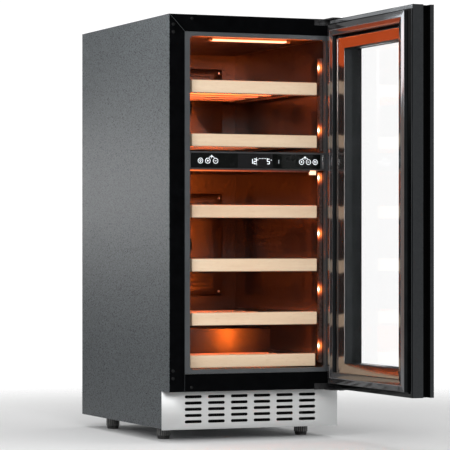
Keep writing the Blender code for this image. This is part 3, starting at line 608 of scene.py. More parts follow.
def domeTree():
    # small domes at the carrier's points
    tree, given = startTree("domes", {"Radius": 0.002, "Flatness": 0.5})
    ball = put(
        tree, "GeometryNodeMeshUVSphere", {"Segments": 20, "Rings": 12, "Radius": given["Radius"]}
    )
    size = put(tree, "ShaderNodeCombineXYZ", {"X": given["Flatness"], "Y": 1.0, "Z": 1.0})
    placed = put(
        tree,
        "GeometryNodeInstanceOnPoints",
        {"Points": given["Geometry"], "Instance": ball.outputs[0], "Scale": size.outputs[0]},
    )
    return endTree(tree, placed.outputs[0], given)


screws = screwTree()
row = rowTree()
slots = slotTree()
guard = guardTree()
ribs = ribTree()
domes = domeTree()
print("geometry trees ready")


def texturedPaint():
    # grained steel of the side walls and the top
    finish, tree, shader, spot = startFinish("texturedPaint", {"Specular IOR Level": 0.45})
    speckle = noise(tree, spot, 430, 2, 0.5)
    cloud = noise(tree, spot, 3.0, 2)
    dark = ramp(tree, speckle, [(0.40, (0.006, 0.0095, 0.0120)), (0.60, (0.042, 0.054, 0.062))])
    faded = spread(tree, cloud, 0.0, 0.35)
    paint(tree, shader, mixed(tree, faded, dark, (0.024, 0.031, 0.036, 1), "MIX"))
    rough(tree, shader, speckle, 0.34, 0.54)
    tree.links.new(spread(tree, speckle, 0.0, 1.0), shader.inputs["Specular IOR Level"])
    grain = noise(tree, spot, 620, 3, 0.6)
    first = bump(tree, shader, speckle, 0.45, 0.0008)
    bump(tree, shader, grain, 0.30, 0.0003, first)
    return finish


def satinBlack(name="satinBlack", colour=(0.0009, 0.0010, 0.0012, 1), sheen=0.010):
    # painted steel of the front rails, brackets and runners
    finish, tree, shader, spot = startFinish(name, {"Specular IOR Level": sheen})
    wear = noise(tree, spot, 42, 4, 0.6)
    lighter = tuple(min(1.0, c * 1.6 + 0.0004) for c in colour[:3]) + (1,)
    paint(tree, shader, mixed(tree, spread(tree, wear, 0.0, 1.0), colour, lighter))
    rough(tree, shader, wear, 0.40, 0.56)
    bump(tree, shader, noise(tree, spot, 900, 2), 0.12, 0.0002)
    return finish


def trimGrey():
    # moulded strip round the opening
    finish, tree, shader, spot = startFinish("trimGrey", {"Specular IOR Level": 0.5})
    cloud = noise(tree, spot, 14, 3)
    paint(tree, shader, ramp(tree, cloud, [(0.3, (0.036, 0.040, 0.043)), (0.7, (0.050, 0.054, 0.058))]))
    rough(tree, shader, noise(tree, spot, 160, 2), 0.30, 0.42)
    bump(tree, shader, noise(tree, spot, 1100, 2), 0.08, 0.0002)
    return finish


def brushedSteel(name="brushedSteel", along=(6, 60, 2600), colour=(0.60, 0.61, 0.61)):
    # stainless sheet, brushed along X
    values = {"Metallic": 1.0, "Anisotropic": 0.55, "IOR": 1.8}
    finish, tree, shader, spot = startFinish(name, values)
    lines = noise(tree, stretched(tree, spot, along), 1.0, 5, 0.7)
    cloud = noise(tree, spot, 7, 2)
    darker = tuple(c * 0.82 for c in colour)
    brushed = ramp(tree, lines, [(0.3, darker), (0.7, colour)])
    paint(tree, shader, mixed(tree, cloud, brushed, (*colour, 1)))
    rough(tree, shader, lines, 0.46, 0.60)
    bump(tree, shader, lines, 0.10, 0.0002)
    return finish


def zincSheet():
    # galvanised sheet with spangle, for the back and the machine space
    finish, tree, shader, spot = startFinish("zincSheet", {"Metallic": 0.9})
    cells = put(tree, "ShaderNodeTexVoronoi", {"Vector": spot, "Scale": 120.0})
    tone = put(tree, "ShaderNodeSeparateColor", {0: cells.outputs["Color"]}).outputs[0]
    paint(tree, shader, ramp(tree, tone, [(0.0, (0.33, 0.34, 0.35)), (1.0, (0.52, 0.53, 0.54))]))
    rough(tree, shader, noise(tree, spot, 90, 3), 0.34, 0.50)
    bump(tree, shader, tone, 0.05, 0.0002)
    return finish


def linerPlastic():
    # dark vacuum-formed liner with a fine haircell
    finish, tree, shader, spot = startFinish("linerPlastic", {"Specular IOR Level": 0.55})
    cloud = noise(tree, spot, 30, 3)
    tones = [(0.3, (0.0080, 0.0066, 0.0062)), (0.7, (0.0100, 0.0082, 0.0078))]
    paint(tree, shader, ramp(tree, cloud, tones))
    rough(tree, shader, cloud, 0.22, 0.27)
    bump(tree, shader, noise(tree, spot, 900, 2), 0.02, 0.0001)
    return finish


def beech():
    # light beech, grain along X
    finish, tree, shader, spot = startFinish("beech", {"Specular IOR Level": 0.35})
    wave = noise(tree, stretched(tree, spot, (3, 26, 26)), 1.0, 4, 0.6)
    fine = noise(tree, stretched(tree, spot, (26, 420, 420)), 1.0, 4, 0.65)
    flecks = noise(tree, stretched(tree, spot, (90, 900, 900)), 1.0, 2, 0.5)
    base = ramp(
        tree,
        wave,
        [(0.25, (0.60, 0.43, 0.29)), (0.5, (0.69, 0.53, 0.37)), (0.75, (0.75, 0.60, 0.44))],
    )
    lined = mixed(tree, spread(tree, fine, 0.0, 0.35), base, (0.58, 0.38, 0.23, 1))
    pores = ramp(tree, flecks, [(0.60, (0, 0, 0)), (0.72, (0.35, 0.35, 0.35))])
    paint(tree, shader, mixed(tree, pores, lined, (0.42, 0.25, 0.14, 1)))
    rough(tree, shader, fine, 0.42, 0.58)
    bump(tree, shader, fine, 0.16, 0.0003)
    return finish


def doorPaint():
    # fine-grained charcoal paint on the door's frame
    finish, tree, shader, spot = startFinish("doorPaint", {"Specular IOR Level": 0.24})
    speckle = noise(tree, spot, 420, 4, 0.65)
    paint(
        tree,
        shader,
        ramp(tree, speckle, [(0.33, (0.0105, 0.0118, 0.0130)), (0.68, (0.0205, 0.0225, 0.0245))]),
    )
    rough(tree, shader, speckle, 0.42, 0.58)
    bump(tree, shader, speckle, 0.25, 0.0003)
    return finish


def smoothFinish(name, values, dark, light):
    # bright and dark mouldings on the door's inside; the top flange's bright metal and the seal's pale
    # bead are painted highlights
    finish, tree, shader, spot = startFinish(name, values)
    cloud = noise(tree, spot, 18, 3)
    paint(tree, shader, ramp(tree, cloud, [(0.3, dark), (0.7, light)]))
    rough(tree, shader, cloud, 0.09, 0.13)
    return finish


def matteReveal():
    # flat dark walls between the window's panes
    finish, tree, shader, spot = startFinish("matteReveal", {"Specular IOR Level": 0.20})
    cloud = noise(tree, spot, 30, 4)
    tones = [(0.3, (0.0135, 0.0155, 0.0165)), (0.7, (0.0190, 0.0215, 0.0230))]
    paint(tree, shader, ramp(tree, cloud, tones))
    rough(tree, shader, noise(tree, spot, 200, 3), 0.55, 0.70)
    bump(tree, shader, noise(tree, spot, 1200, 2), 0.10, 0.0002)
    return finish


def clearGlass(name, bend):
    # window panes, with the faintest wipe marks
    values = {"Transmission Weight": 1.0, "IOR": bend, "Base Color": (1.0, 1.0, 1.0, 1)}
    finish, tree, shader, spot = startFinish(name, values)
    wipes = noise(tree, stretched(tree, spot, (5, 5, 30)), 1.0, 4)
    rough(tree, shader, wipes, 0.0, 0.003)
    return finish


def panelGlass():
    # black glass over the touch controls
    values = {"Specular IOR Level": 0.14}
    finish, tree, shader, spot = startFinish("panelGlass", values)
    cloud = noise(tree, spot, 40, 2)
    tones = [(0.3, (0.0022, 0.0026, 0.0024)), (0.7, (0.0045, 0.0050, 0.0046))]
    paint(tree, shader, ramp(tree, cloud, tones))
    rough(tree, shader, noise(tree, spot, 90, 3), 0.05, 0.12)
    return finish


def backPrint():
    # black ceramic print behind the outer pane
    finish, tree, shader, spot = startFinish("backPrint", {"Specular IOR Level": 0.12})
    grain = noise(tree, spot, 800, 2)
    paint(tree, shader, ramp(tree, grain, [(0.3, (0.004, 0.004, 0.0045)), (0.7, (0.007, 0.007, 0.0075))]))
    rough(tree, shader, grain, 0.45, 0.60)
    return finish


def glowing(name, colour, strength, base=(0.9, 0.8, 0.65, 1)):
    # lit lenses, chips and symbols
    values = {
        "Base Color": base,
        "Emission Color": colour,
        "Emission Strength": strength,
        "Specular IOR Level": 0.4,
    }
    finish, tree, shader, spot = startFinish(name, values)
    rough(tree, shader, noise(tree, spot, 200, 2), 0.25, 0.40)
    bump(tree, shader, noise(tree, spot, 900, 2), 0.05, 0.0002)
    return finish


def lightStrip():
    # frosted strip that glows round each chip; the glow attribute is worked out with its mesh
    finish, tree, shader, spot = startFinish("lightStrip", {"Specular IOR Level": 0.35})
    glow = put(tree, "ShaderNodeAttribute", attribute_name="glow").outputs["Fac"]
    colour = ramp(
        tree,
        glow,
        [
            (0.0, (0.010, 0.003, 0.0015)),
            (0.25, (0.40, 0.045, 0.008)),
            (0.6, (1.0, 0.22, 0.04)),
            (1.0, (1.0, 0.80, 0.58)),
        ],
    )
    tree.links.new(colour, shader.inputs["Emission Color"])
    power = put(tree, "ShaderNodeMath", {0: glow, 1: 2.6}, operation="MULTIPLY").outputs[0]
    tree.links.new(power, shader.inputs["Emission Strength"])
    grain = noise(tree, spot, 300, 3)
    paint(tree, shader, ramp(tree, grain, [(0.3, (0.022, 0.016, 0.014)), (0.7, (0.040, 0.030, 0.026))]))
    rough(tree, shader, grain, 0.22, 0.36)
    return finish


def mouldedBlack(name="mouldedBlack", tone=0.012, low=0.38, high=0.52):
    # textured black plastic for fans, covers and the control bar
    finish, tree, shader, spot = startFinish(name, {"Specular IOR Level": 0.4})
    cloud = noise(tree, spot, 60, 4)
    one = (tone * 0.8, tone * 0.8, tone * 0.84)
    two = (tone * 1.3, tone * 1.3, tone * 1.34)
    paint(tree, shader, ramp(tree, cloud, [(0.3, one), (0.7, two)]))
    rough(tree, shader, cloud, low, high)
    bump(tree, shader, noise(tree, spot, 1000, 3), 0.16, 0.0003)
    return finish


def footRubber():
    # dusty rubber of the levelling feet
    finish, tree, shader, spot = startFinish("footRubber", {"Specular IOR Level": 0.3})
    cloud = noise(tree, spot, 160, 4)
    paint(tree, shader, ramp(tree, cloud, [(0.35, (0.022, 0.022, 0.023)), (0.7, (0.060, 0.058, 0.056))]))
    rough(tree, shader, cloud, 0.55, 0.78)
    bump(tree, shader, noise(tree, spot, 1300, 3), 0.25, 0.0003)
    return finish


def paleRibHighlight():
    # rib crests of the feet, painted paler as a highlight
    finish, tree, shader, spot = startFinish("paleRibHighlight", {"Specular IOR Level": 0.4})
    cloud = noise(tree, spot, 240, 4)
    paint(tree, shader, ramp(tree, cloud, [(0.35, (0.13, 0.13, 0.13)), (0.7, (0.24, 0.235, 0.23))]))
    rough(tree, shader, cloud, 0.45, 0.65)
    bump(tree, shader, noise(tree, spot, 1300, 3), 0.15, 0.0003)
    return finish


def copperPipe():
    finish, tree, shader, spot = startFinish("copperPipe", {"Metallic": 1.0})
    cloud = noise(tree, spot, 60, 4)
    paint(tree, shader, ramp(tree, cloud, [(0.3, (0.42, 0.19, 0.10)), (0.7, (0.74, 0.40, 0.25))]))
    rough(tree, shader, cloud, 0.25, 0.45)
    return finish


def compressorPaint():
    finish, tree, shader, spot = startFinish("compressorPaint", {"Specular IOR Level": 0.5})
    dust = noise(tree, spot, 35, 5, 0.6)
    paint(tree, shader, ramp(tree, dust, [(0.4, (0.006, 0.006, 0.006)), (0.75, (0.030, 0.028, 0.026))]))
    rough(tree, shader, dust, 0.22, 0.50)
    bump(tree, shader, noise(tree, spot, 220, 3), 0.15, 0.0005)
    return finish


def foamSkin():
    finish, tree, shader, spot = startFinish("foamSkin", {"Specular IOR Level": 0.2})
    cells = put(tree, "ShaderNodeTexVoronoi", {"Vector": spot, "Scale": 600.0}).outputs["Distance"]
    paint(tree, shader, ramp(tree, cells, [(0.0, (0.62, 0.52, 0.30)), (0.6, (0.82, 0.74, 0.50))]))
    rough(tree, shader, noise(tree, spot, 50, 3), 0.75, 0.92)
    bump(tree, shader, cells, 0.4, 0.0008)
    return finish


def brightSteel(name="brightSteel", colour=(0.58, 0.58, 0.58)):
    # plated screws and pins
    finish, tree, shader, spot = startFinish(name, {"Metallic": 1.0})
    cloud = noise(tree, spot, 240, 3)
    darker = tuple(c * 0.75 for c in colour)
    paint(tree, shader, ramp(tree, cloud, [(0.3, darker), (0.7, colour)]))
    rough(tree, shader, cloud, 0.20, 0.36)
    return finish


sidePaint = texturedPaint()
railBlack = satinBlack()
bracketBlack = satinBlack("bracketBlack", (0.006, 0.006, 0.0065, 1), 0.3)
runnerBlack = satinBlack("runnerBlack", (0.010, 0.010, 0.011, 1), 0.5)
coilBlack = satinBlack("coilBlack", (0.004, 0.004, 0.004, 1), 0.1)
stripGrey = trimGrey()
kickSteel = brushedSteel()
zinc = zincSheet()
liner = linerPlastic()
wood = beech()
framePaint = doorPaint()
slopeBright = smoothFinish(
    "slopeBright", {"Metallic": 0.95}, (0.27, 0.25, 0.24), (0.33, 0.31, 0.30)
)
rimBlack = smoothFinish(
    "rimBlack", {"Specular IOR Level": 0.22}, (0.0010, 0.0012, 0.0013), (0.0016, 0.0018, 0.0020)
)
# bright metal for the door's top flange only: a painted highlight
topFlangeHighlight = smoothFinish(
    "topFlangeHighlight", {"Metallic": 0.9}, (0.60, 0.63, 0.66), (0.72, 0.75, 0.78)
)
revealDark = matteReveal()
# metallic finish on the seal's cap: a painted sheen
sealSheen = smoothFinish(
    "sealSheen", {"Metallic": 0.85}, (0.15, 0.15, 0.155), (0.19, 0.19, 0.195)
)
# pale grey for the seal's bead: a painted highlight
sealBeadHighlight = smoothFinish(
    "sealBeadHighlight", {"Specular IOR Level": 0.5}, (0.20, 0.20, 0.21), (0.26, 0.26, 0.27)
)
sealDark = satinBlack("sealDark", (0.0035, 0.0042, 0.0046, 1), 0.12)
outerGlass = clearGlass("outerGlass", 1.25)
innerGlass = clearGlass("innerGlass", 1.03)
touchGlass = panelGlass()
borderGlass = smoothFinish(
    "borderGlass", {"Specular IOR Level": 0.5}, (0.0045, 0.0046, 0.0050), (0.0060, 0.0062, 0.0066)
)
printBlack = backPrint()
lampLens = glowing("lampLens", (1.0, 0.42, 0.20, 1), 0.85)
chipLens = glowing("chipLens", (1.0, 0.80, 0.60, 1), 9.0)
symbolWhite = glowing("symbolWhite", (0.90, 0.95, 1.0, 1), 0.75, (0.75, 0.78, 0.80, 1))
stripLens = lightStrip()
plastic = mouldedBlack()
barPlastic = mouldedBlack("barPlastic", 0.030, 0.32, 0.42)
# near-black for the groove's lining: painted shade
grooveShadeBlack = satinBlack("grooveShadeBlack", (0.0012, 0.0012, 0.0012, 1), 0.0)
treadRubber = footRubber()
ribHighlightRubber = paleRibHighlight()
plugBlack = satinBlack("plugBlack", (0.0012, 0.0013, 0.0015, 1), 0.16)
copper = copperPipe()
shellPaint = compressorPaint()
foam = foamSkin()
plated = brightSteel()
print("finishes ready")


def dressNodes():
    plan = {
        sidePaint: ["cabinet_left_side", "cabinet_right_side", "cabinet_top"],
        zinc: ["cabinet_back", "base_pan", "machine_deck", "rear_cover"],
        railBlack: ["rail_left", "rail_right", "rail_top", "rail_bottom"],
        stripGrey: ["opening_trim"],
        liner: [
            "liner_left_wall",
            "liner_right_wall",
            "liner_ceiling",
            "liner_back_wall",
            "liner_floor",
            "zone_divider",
        ],
        foam: ["insulation_foam"],
        barPlastic: ["control_bar"],
        plastic: [
            "power_inlet",
            "upper_air_fan",
            "lower_air_fan",
            "condenser_fan_shroud",
            "condenser_fan_rotor",
        ],
        touchGlass: ["touch_panel"],
        wood: [f"shelf_{number}_front" for number in range(1, 7)],
        framePaint: ["door_frame"],
        outerGlass: ["door_outer_glass"],
        bracketBlack: ["hinge_bracket_top", "hinge_bracket_bottom"],
        plated: ["hinge_pin_top", "hinge_pin_bottom"],
        shellPaint: ["compressor"],
        coilBlack: ["condenser"],
    }
    for finish, names in plan.items():
        for name in names:
            slotsOf = nodes[name].material_slots
            for place in slotsOf:
                place.material = finish
            if not slotsOf:
                nodes[name].data.materials.append(finish)


kickSettings = {
    "rounding": 0.0005,
    "columns": 6,
    "rows": 5,
    "pitchX": 0.0492,
    "pitchZ": 0.0123,
    "length": 0.0362,
    "radius": 0.00300,
    "firstRow": 0.0395,
}


def kickPanel():
    given = kickSettings
    low, high = cabinetBox("kick_plate")
    bm = bmesh.new()
    addBox(bm, low, high, given["rounding"])
    middleZ = given["firstRow"] + given["pitchZ"] * (given["rows"] - 1) / 2
    sizes = {key: given[key] for key in ("columns", "rows", "pitchX", "pitchZ", "length", "radius")}
    middle = (0.0, (low.y + high.y) / 2, middleZ)
    mesh = grow(slots, kickSteel, meshOf(bm, "kick"), middle=middle, **sizes)
    makePiece("kickPanel", mesh, kickSteel, "cabinet", stands=["kick_plate"])


forward = (math.radians(90), 0.0, 0.0)
backward = (math.radians(-90), 0.0, 0.0)

fastenerSettings = {
    "plugRadius": 0.0032,
    "plugHeight": 0.0006,
    "plugs": [
        (-0.1810, 0.8208),
        (-0.1810, 0.8058),
        (-0.1421, 0.8333),
        (-0.1817, 0.1428),
        (-0.1817, 0.1277),
        (-0.1427, 0.1097),
        (0.1817, 0.1428),
        (0.1817, 0.1277),
        (0.1810, 0.8058),
    ],
    "hingeScrews": [(0.1317, 0.8353), (0.1317, 0.1065)],
    "bracketSheet": 0.0025,
    "screwRadius": 0.0030,
    "screwHeight": 0.0012,
    "backInset": 0.012,
    "backRadius": 0.0036,
    "backHeight": 0.0011,
}


def frontPlugs():
    given = fastenerSettings
    radius, height = given["plugRadius"], given["plugHeight"]
    profile = [(0, 0), (radius, 0), (radius, -height * 0.5), (radius * 0.85, -height), (0, -height)]
    bm = bmesh.new()
    for x, z in given["plugs"]:
        addTurned(bm, profile, (x, 0.0, z), "Y", 20)
    makePiece("hingeHolePlugs", bm, plugBlack, "cabinet")


def bracketScrews():
    given = fastenerSettings
    front = cabinetBox("hinge_bracket_top")[1].y - given["bracketSheet"]
    points = pointsMesh([(x, front, z) for x, z in given["hingeScrews"]])
    sizes = {"radius": given["screwRadius"], "height": given["screwHeight"], "turn": forward}
    mesh = grow(screws, bracketBlack, points, **sizes)
    makePiece("hingeScrews", mesh, bracketBlack, "cabinet")


def backScrews():
    given = fastenerSettings
    low, high = cabinetBox("cabinet_back")
    edge = given["backInset"]
    columns = [low.x + edge, 0.0, high.x - edge]
    levels = [low.z + edge, (low.z + high.z) / 2, high.z - edge]
    spots = [(x, high.y, z) for x in columns for z in levels if (x, z) != (0.0, levels[1])]
    coverLow, coverHigh = cabinetBox("rear_cover")
    for x in (coverLow.x + edge, coverHigh.x - edge):
        spots += [(x, high.y, coverLow.z + edge), (x, high.y, coverHigh.z - edge)]
    sizes = {"radius": given["backRadius"], "height": given["backHeight"], "turn": backward}
    mesh = grow(screws, plated, pointsMesh(spots), **sizes)
    makePiece("backScrews", mesh, plated, "cabinet")


jointSettings = {
    "mitreWidth": 0.0005,
    "buttWidth": 0.0003,
    "cornerIn": (0.0006, 0.0010),
    "clear": 0.0002,
}


def railJointHighlights():
    # fine lines of lighter grey where the rails meet, mitred at the top, butted below: painted edge
    # highlights
    given = jointSettings
    low, high = cabinetBox("rail_top")
    left = cabinetBox("rail_left")[1]
    bottomLow, bottomHigh = cabinetBox("rail_bottom")
    inX, inZ = given["cornerIn"]
    bm = bmesh.new()
    for side in (-1, 1):
        outerCorner = (side * (high.x - inX), high.z - inZ)
        innerCorner = (side * abs(left.x), low.z + given["clear"])
        flatBar(bm, outerCorner, innerCorner, given["mitreWidth"], 0.0)
        x = side * (bottomHigh.x + given["clear"])
        flatBar(bm, (x, bottomLow.z), (x, bottomHigh.z), given["buttWidth"], 0.0)
    makePiece("railJointHighlights", bm, stripGrey, "cabinet")


backPlugSettings = {
    "spots": [(-0.085, 0.62), (0.085, 0.34)],
    "profile": [(0, 0), (0.011, 0), (0.011, 0.0006), (0.0095, 0.0012), (0.004, 0.0009), (0, 0.0008)],
}


def backPlugs():
    # round plugs over the holes that the foam was blown in through
    back = cabinetBox("cabinet_back")[1].y
    bm = bmesh.new()
    for x, z in backPlugSettings["spots"]:
        addTurned(bm, backPlugSettings["profile"], (x, back, z), "Y", 32)
    makePiece("foamPlugs", bm, plastic, "cabinet")


hemSettings = {
    "width": 0.004,
    "drop": 0.0060,
    "gap": 0.0003,
    "rounding": 0.0004,
}


def topHem():
    # folded joint line between the top sheet and the side walls
    given = hemSettings
    low, high = cabinetBox("cabinet_top")
    bm = bmesh.new()
    for side in (-1, 1):
        x0, x1 = sorted((high.x * side, (high.x - given["width"]) * side))
        first = (x0, low.y, low.z - given["drop"])
        last = (x1, high.y, low.z - given["gap"])
        addBox(bm, first, last, given["rounding"])
    makePiece("topHem", bm, sidePaint, "cabinet")


shelfNumbers = range(1, 7)
shortShelf = 6  # it stands over the compressor

shelfSettings = {
    "slats": 6,
    "shortSlats": 4,
    "slatWidth": 0.022,
    "slatGap": 0.001,
    "slatRounding": 0.0012,
    "slatDrop": 0.0018,
    "slatEnd": 0.0004,
    "topGap": 0.0002,
    "runnerWidth": 0.012,
    "runnerRounding": 0.0003,
    "sheet": 0.0015,
    "rearBar": 0.012,
    "slideX": (0.0001, 0.0028),
    "slideZ": (0.002, 0.0125),
    "slideEnds": (0.006, 0.004),
    "slideRounding": 0.0006,
    "screwInset": 0.006,
    "screwRadius": 0.0024,
    "screwHeight": 0.0008,
}


def shelfPlan(number):
    # the deck's box, its number of slats, their pitch and half of their length
    given = shelfSettings
    low, high = cabinetBox(f"shelf_{number}_deck")
    count = given["shortSlats"] if number == shortShelf else given["slats"]
    half = high.x - given["sheet"] - given["slatEnd"]
    return low, high, count, (high.y - low.y) / count, half


def shelfSlats(number):
    given = shelfSettings
    low, high, count, pitch, half = shelfPlan(number)
    bottom, top = low.z + given["slatDrop"], high.z - given["topGap"]
    rows = []
    for copies, y, width in (
        (count, low.y + given["slatWidth"] / 2, given["slatWidth"]),
        (1, high.y - given["rearBar"] / 2, given["rearBar"]),
    ):
        sizes = {
            "rounding": given["slatRounding"],
            "count": copies,
            "start": (0.0, y, (bottom + top) / 2),
            "step": (0.0, pitch, 0.0),
            "size": (2 * half, width - given["slatGap"], top - bottom),
        }
        rows.append(grow(row, wood, **sizes))
    stands = [f"shelf_{number}_deck"]
    makePiece(f"shelf{number}Slats", joinMeshes(rows), wood, f"shelf_{number}", stands=stands)


def shelfRunners(number):
    # a folded steel runner at each side, with its slide on the outer face
    given = shelfSettings
    low, high = cabinetBox(f"shelf_{number}_deck")
    sheet, rounding = given["sheet"], given["runnerRounding"]
    near, far = given["slideX"]
    bottom, top = given["slideZ"]
    front, back = given["slideEnds"]
    bm = bmesh.new()
    for side in (-1, 1):
        outer = side * high.x
        web = sorted((outer, outer - side * sheet))
        flange = sorted((outer - side * sheet * 0.5, outer - side * given["runnerWidth"]))
        slide = sorted((outer + side * near, outer + side * far))
        addBox(bm, (web[0], low.y, low.z), (web[1], high.y, high.z), rounding)
        addBox(bm, (flange[0], low.y, low.z), (flange[1], high.y, low.z + sheet), rounding)
        first = (slide[0], low.y + front, low.z + bottom)
        last = (slide[1], high.y - back, low.z + top)
        addBox(bm, first, last, given["slideRounding"])
    makePiece(f"shelf{number}Runners", bm, runnerBlack, f"shelf_{number}")


def shelfScrews(number):
    given = shelfSettings
    low, high, count, pitch, half = shelfPlan(number)
    reach, top = half - given["screwInset"], high.z - given["topGap"]
    levels = [low.y + given["slatWidth"] / 2 + k * pitch for k in range(count)]
    points = pointsMesh([(side * reach, y, top) for y in levels for side in (-1, 1)])
    mesh = grow(screws, plated, points, radius=given["screwRadius"], height=given["screwHeight"])
    makePiece(f"shelf{number}Screws", mesh, plated, f"shelf_{number}")


slideSettings = {
    "web": (0.1453, 0.1464),
    "flange": (0.1386, 0.1456),
    "spanZ": (0.0006, 0.0148),
    "sheet": 0.0012,
    "ends": (0.006, 0.002),
    "rounding": 0.0003,
}


def wallSlides():
    # channels on the liner that the shelf runners slide in
    given = slideSettings
    bottom, top = given["spanZ"]
    front, back = given["ends"]
    bars = (
        (given["web"], bottom, top),
        (given["flange"], bottom, bottom + given["sheet"]),
        (given["flange"], top - given["sheet"], top),
    )
    bm = bmesh.new()
    for number in shelfNumbers:
        low, high = cabinetBox(f"shelf_{number}_deck")
        for side in (-1, 1):
            for spanX, z0, z1 in bars:
                x0, x1 = sorted((side * spanX[0], side * spanX[1]))
                first, last = (x0, low.y + front, low.z + z0), (x1, high.y - back, low.z + z1)
                addBox(bm, first, last, given["rounding"])
    makePiece("wallSlides", bm, runnerBlack, "cabinet")


panelSettings = {
    "line": 0.00085,
    "thick": 0.00012,
    "clear": 0.00005,
    "ringRadius": 0.0050,
    "levelZ": 0.5548,
    "bulbX": -0.1235,
    "bulb": (0.0006, 0.0015),
    "bulbBase": ((0.0016, 0.0009), (0.0024, 0.0006)),
    "leftPair": (-0.1080, -0.0915),
    "rightPair": (0.0935, 0.1085),
    "arch": (-0.0002, 0.0086),
    "cap": (0.0094, 0.0013),
    "post": (0.0050, 0.0074),
    "signHalf": 0.0022,
    "powerX": 0.1232,
    "powerRadius": 0.0020,
    "powerStem": (0.0005, 0.0026),
    "digits": ((-0.0175, "12"), (0.0190, "5")),
    "digitHeight": 0.0096,
    "digitPitch": 0.0078,
    "digitLine": 0.0012,
    "degree": (0.0006, 0.0030, 0.0007),
    "ticks": 6,
    "tickStart": (0.0010, 0.0058),
    "tickPitch": 0.0034,
    "tickLength": 0.0020,
    "dividers": ((-0.0040, 0.0078), (0.0440, 0.0036)),
}


def flatBar(bm, start, end, width, y):
    # a printed stroke on the glass, from one XZ point to another
    start, end = Vector((start[0], 0, start[1])), Vector((end[0], 0, end[1]))
    way = (end - start).normalized()
    across = Vector((-way.z, 0, way.x)) * width / 2
    corners = [start - across, end - across, end + across, start + across]
    thick = panelSettings["thick"]
    front = [bm.verts.new(c + Vector((0, y - thick, 0))) for c in corners]
    back = [bm.verts.new(c + Vector((0, y, 0))) for c in corners]
    faces = [bm.faces.new(front), bm.faces.new(list(reversed(back)))]
    for k in range(4):
        faces.append(bm.faces.new([front[k], back[k], back[(k + 1) % 4], front[(k + 1) % 4]]))
    bmesh.ops.recalc_face_normals(bm, faces=faces)


def flatArc(bm, centre, radius, start, end, width, y, steps=28):
    angles = [math.radians(start + (end - start) * k / steps) for k in range(steps + 1)]
    spots = [(centre[0] + radius * math.cos(a), centre[1] + radius * math.sin(a)) for a in angles]
    for one, two in zip(spots, spots[1:]):
        flatBar(bm, one, two, width, y)


def digit(bm, number, x, z, height, y):
    # seven strokes, lit as a display lights them
    lit = {"1": "bc", "2": "abged", "5": "afgcd", "6": "afgecd", "0": "abcdef", "8": "abcdefg"}
    w, h = height * 0.5, height / 2
    strokes = {
        "a": ((x, z + h), (x + w, z + h)),
        "b": ((x + w, z + h), (x + w, z)),
        "c": ((x + w, z), (x + w, z - h)),
        "d": ((x, z - h), (x + w, z - h)),
        "e": ((x, z), (x, z - h)),
        "f": ((x, z + h), (x, z)),
        "g": ((x, z), (x + w, z)),
    }
    for key in lit[number]:
        flatBar(bm, *strokes[key], panelSettings["digitLine"], y)


def keySymbols(bm, face):
    # a ring for each key, a bulb at the left and a power sign at the right
    given = panelSettings
    line, z = given["line"], given["levelZ"]
    for x in (given["bulbX"], *given["leftPair"], *given["rightPair"], given["powerX"]):
        flatArc(bm, (x, z), given["ringRadius"], 0, 360, line, face)
    x = given["bulbX"]
    rise, radius = given["bulb"]
    flatArc(bm, (x, z + rise), radius, -50, 230, line, face, 12)
    for drop, half in given["bulbBase"]:
        flatBar(bm, (x - half, z - drop), (x + half, z - drop), line, face)
    x = given["powerX"]
    bottom, top = given["powerStem"]
    flatArc(bm, (x, z), given["powerRadius"], 120, 420, line, face, 16)
    flatBar(bm, (x, z + bottom), (x, z + top), line, face)


def zoneSymbols(bm, face, pair):
    # the plus and minus keys of one zone, under an arch with a small ring on a post
    given = panelSettings
    line, z, half = given["line"], given["levelZ"], given["signHalf"]
    middle = (pair[0] + pair[1]) / 2
    for (rise, radius), start, end, steps in ((given["arch"], 48, 132, 12), (given["cap"], 0, 360, 10)):
        flatArc(bm, (middle, z + rise), radius, start, end, line, face, steps)
    bottom, top = given["post"]
    flatBar(bm, (middle, z + bottom), (middle, z + top), line, face)
    for x in pair:
        flatBar(bm, (x - half, z), (x + half, z), line, face)
    flatBar(bm, (pair[0], z - half), (pair[0], z + half), line, face)


def displaySymbols(bm, face):
    given = panelSettings
    line, z = given["line"], given["levelZ"]
    gap, rise, radius = given["degree"]
    for x, text in given["digits"]:
        for index, number in enumerate(text):
            digit(bm, number, x + index * given["digitPitch"], z, given["digitHeight"], face)
        end = x + len(text) * given["digitPitch"] + gap
        flatArc(bm, (end, z + rise), radius, 0, 360, line * 0.8, face, 10)
    startX, tickRise = given["tickStart"]
    for k in range(given["ticks"]):
        x = startX + k * given["tickPitch"]
        flatBar(bm, (x, z + tickRise), (x + given["tickLength"], z + tickRise), line, face)
    for x, half in given["dividers"]:
        flatBar(bm, (x, z - half), (x, z + half), line * 0.6, face)


def panelPrint():
    face = cabinetBox("touch_panel")[0].y - panelSettings["clear"]
    bm = bmesh.new()
    keySymbols(bm, face)
    for pair in ("leftPair", "rightPair"):
        zoneSymbols(bm, face, panelSettings[pair])
    displaySymbols(bm, face)
    makePiece("panelSymbols", bm, symbolWhite, "cabinet")


barSettings = {
    "lineX": (0.0050, 0.0062),
    "lineY": (0.0006, 0.001),
    "margin": 0.0006,
    "windowX": (-0.044, 0.031),
    "windowY": (0.00006, 0.00001),
    "lensX": (0.002, 0.1131),
    "lensY": (0.0045, 0.0300),
    "lensZ": (0.0034, 0.0002),
    "lensGlow": (0.50, 0.10),
    "sensorX": (0.1135, 0.1275),
    "sensorY": (0.0060, 0.0110),
    "sensorZ": (0.0092, 0.0002),
}


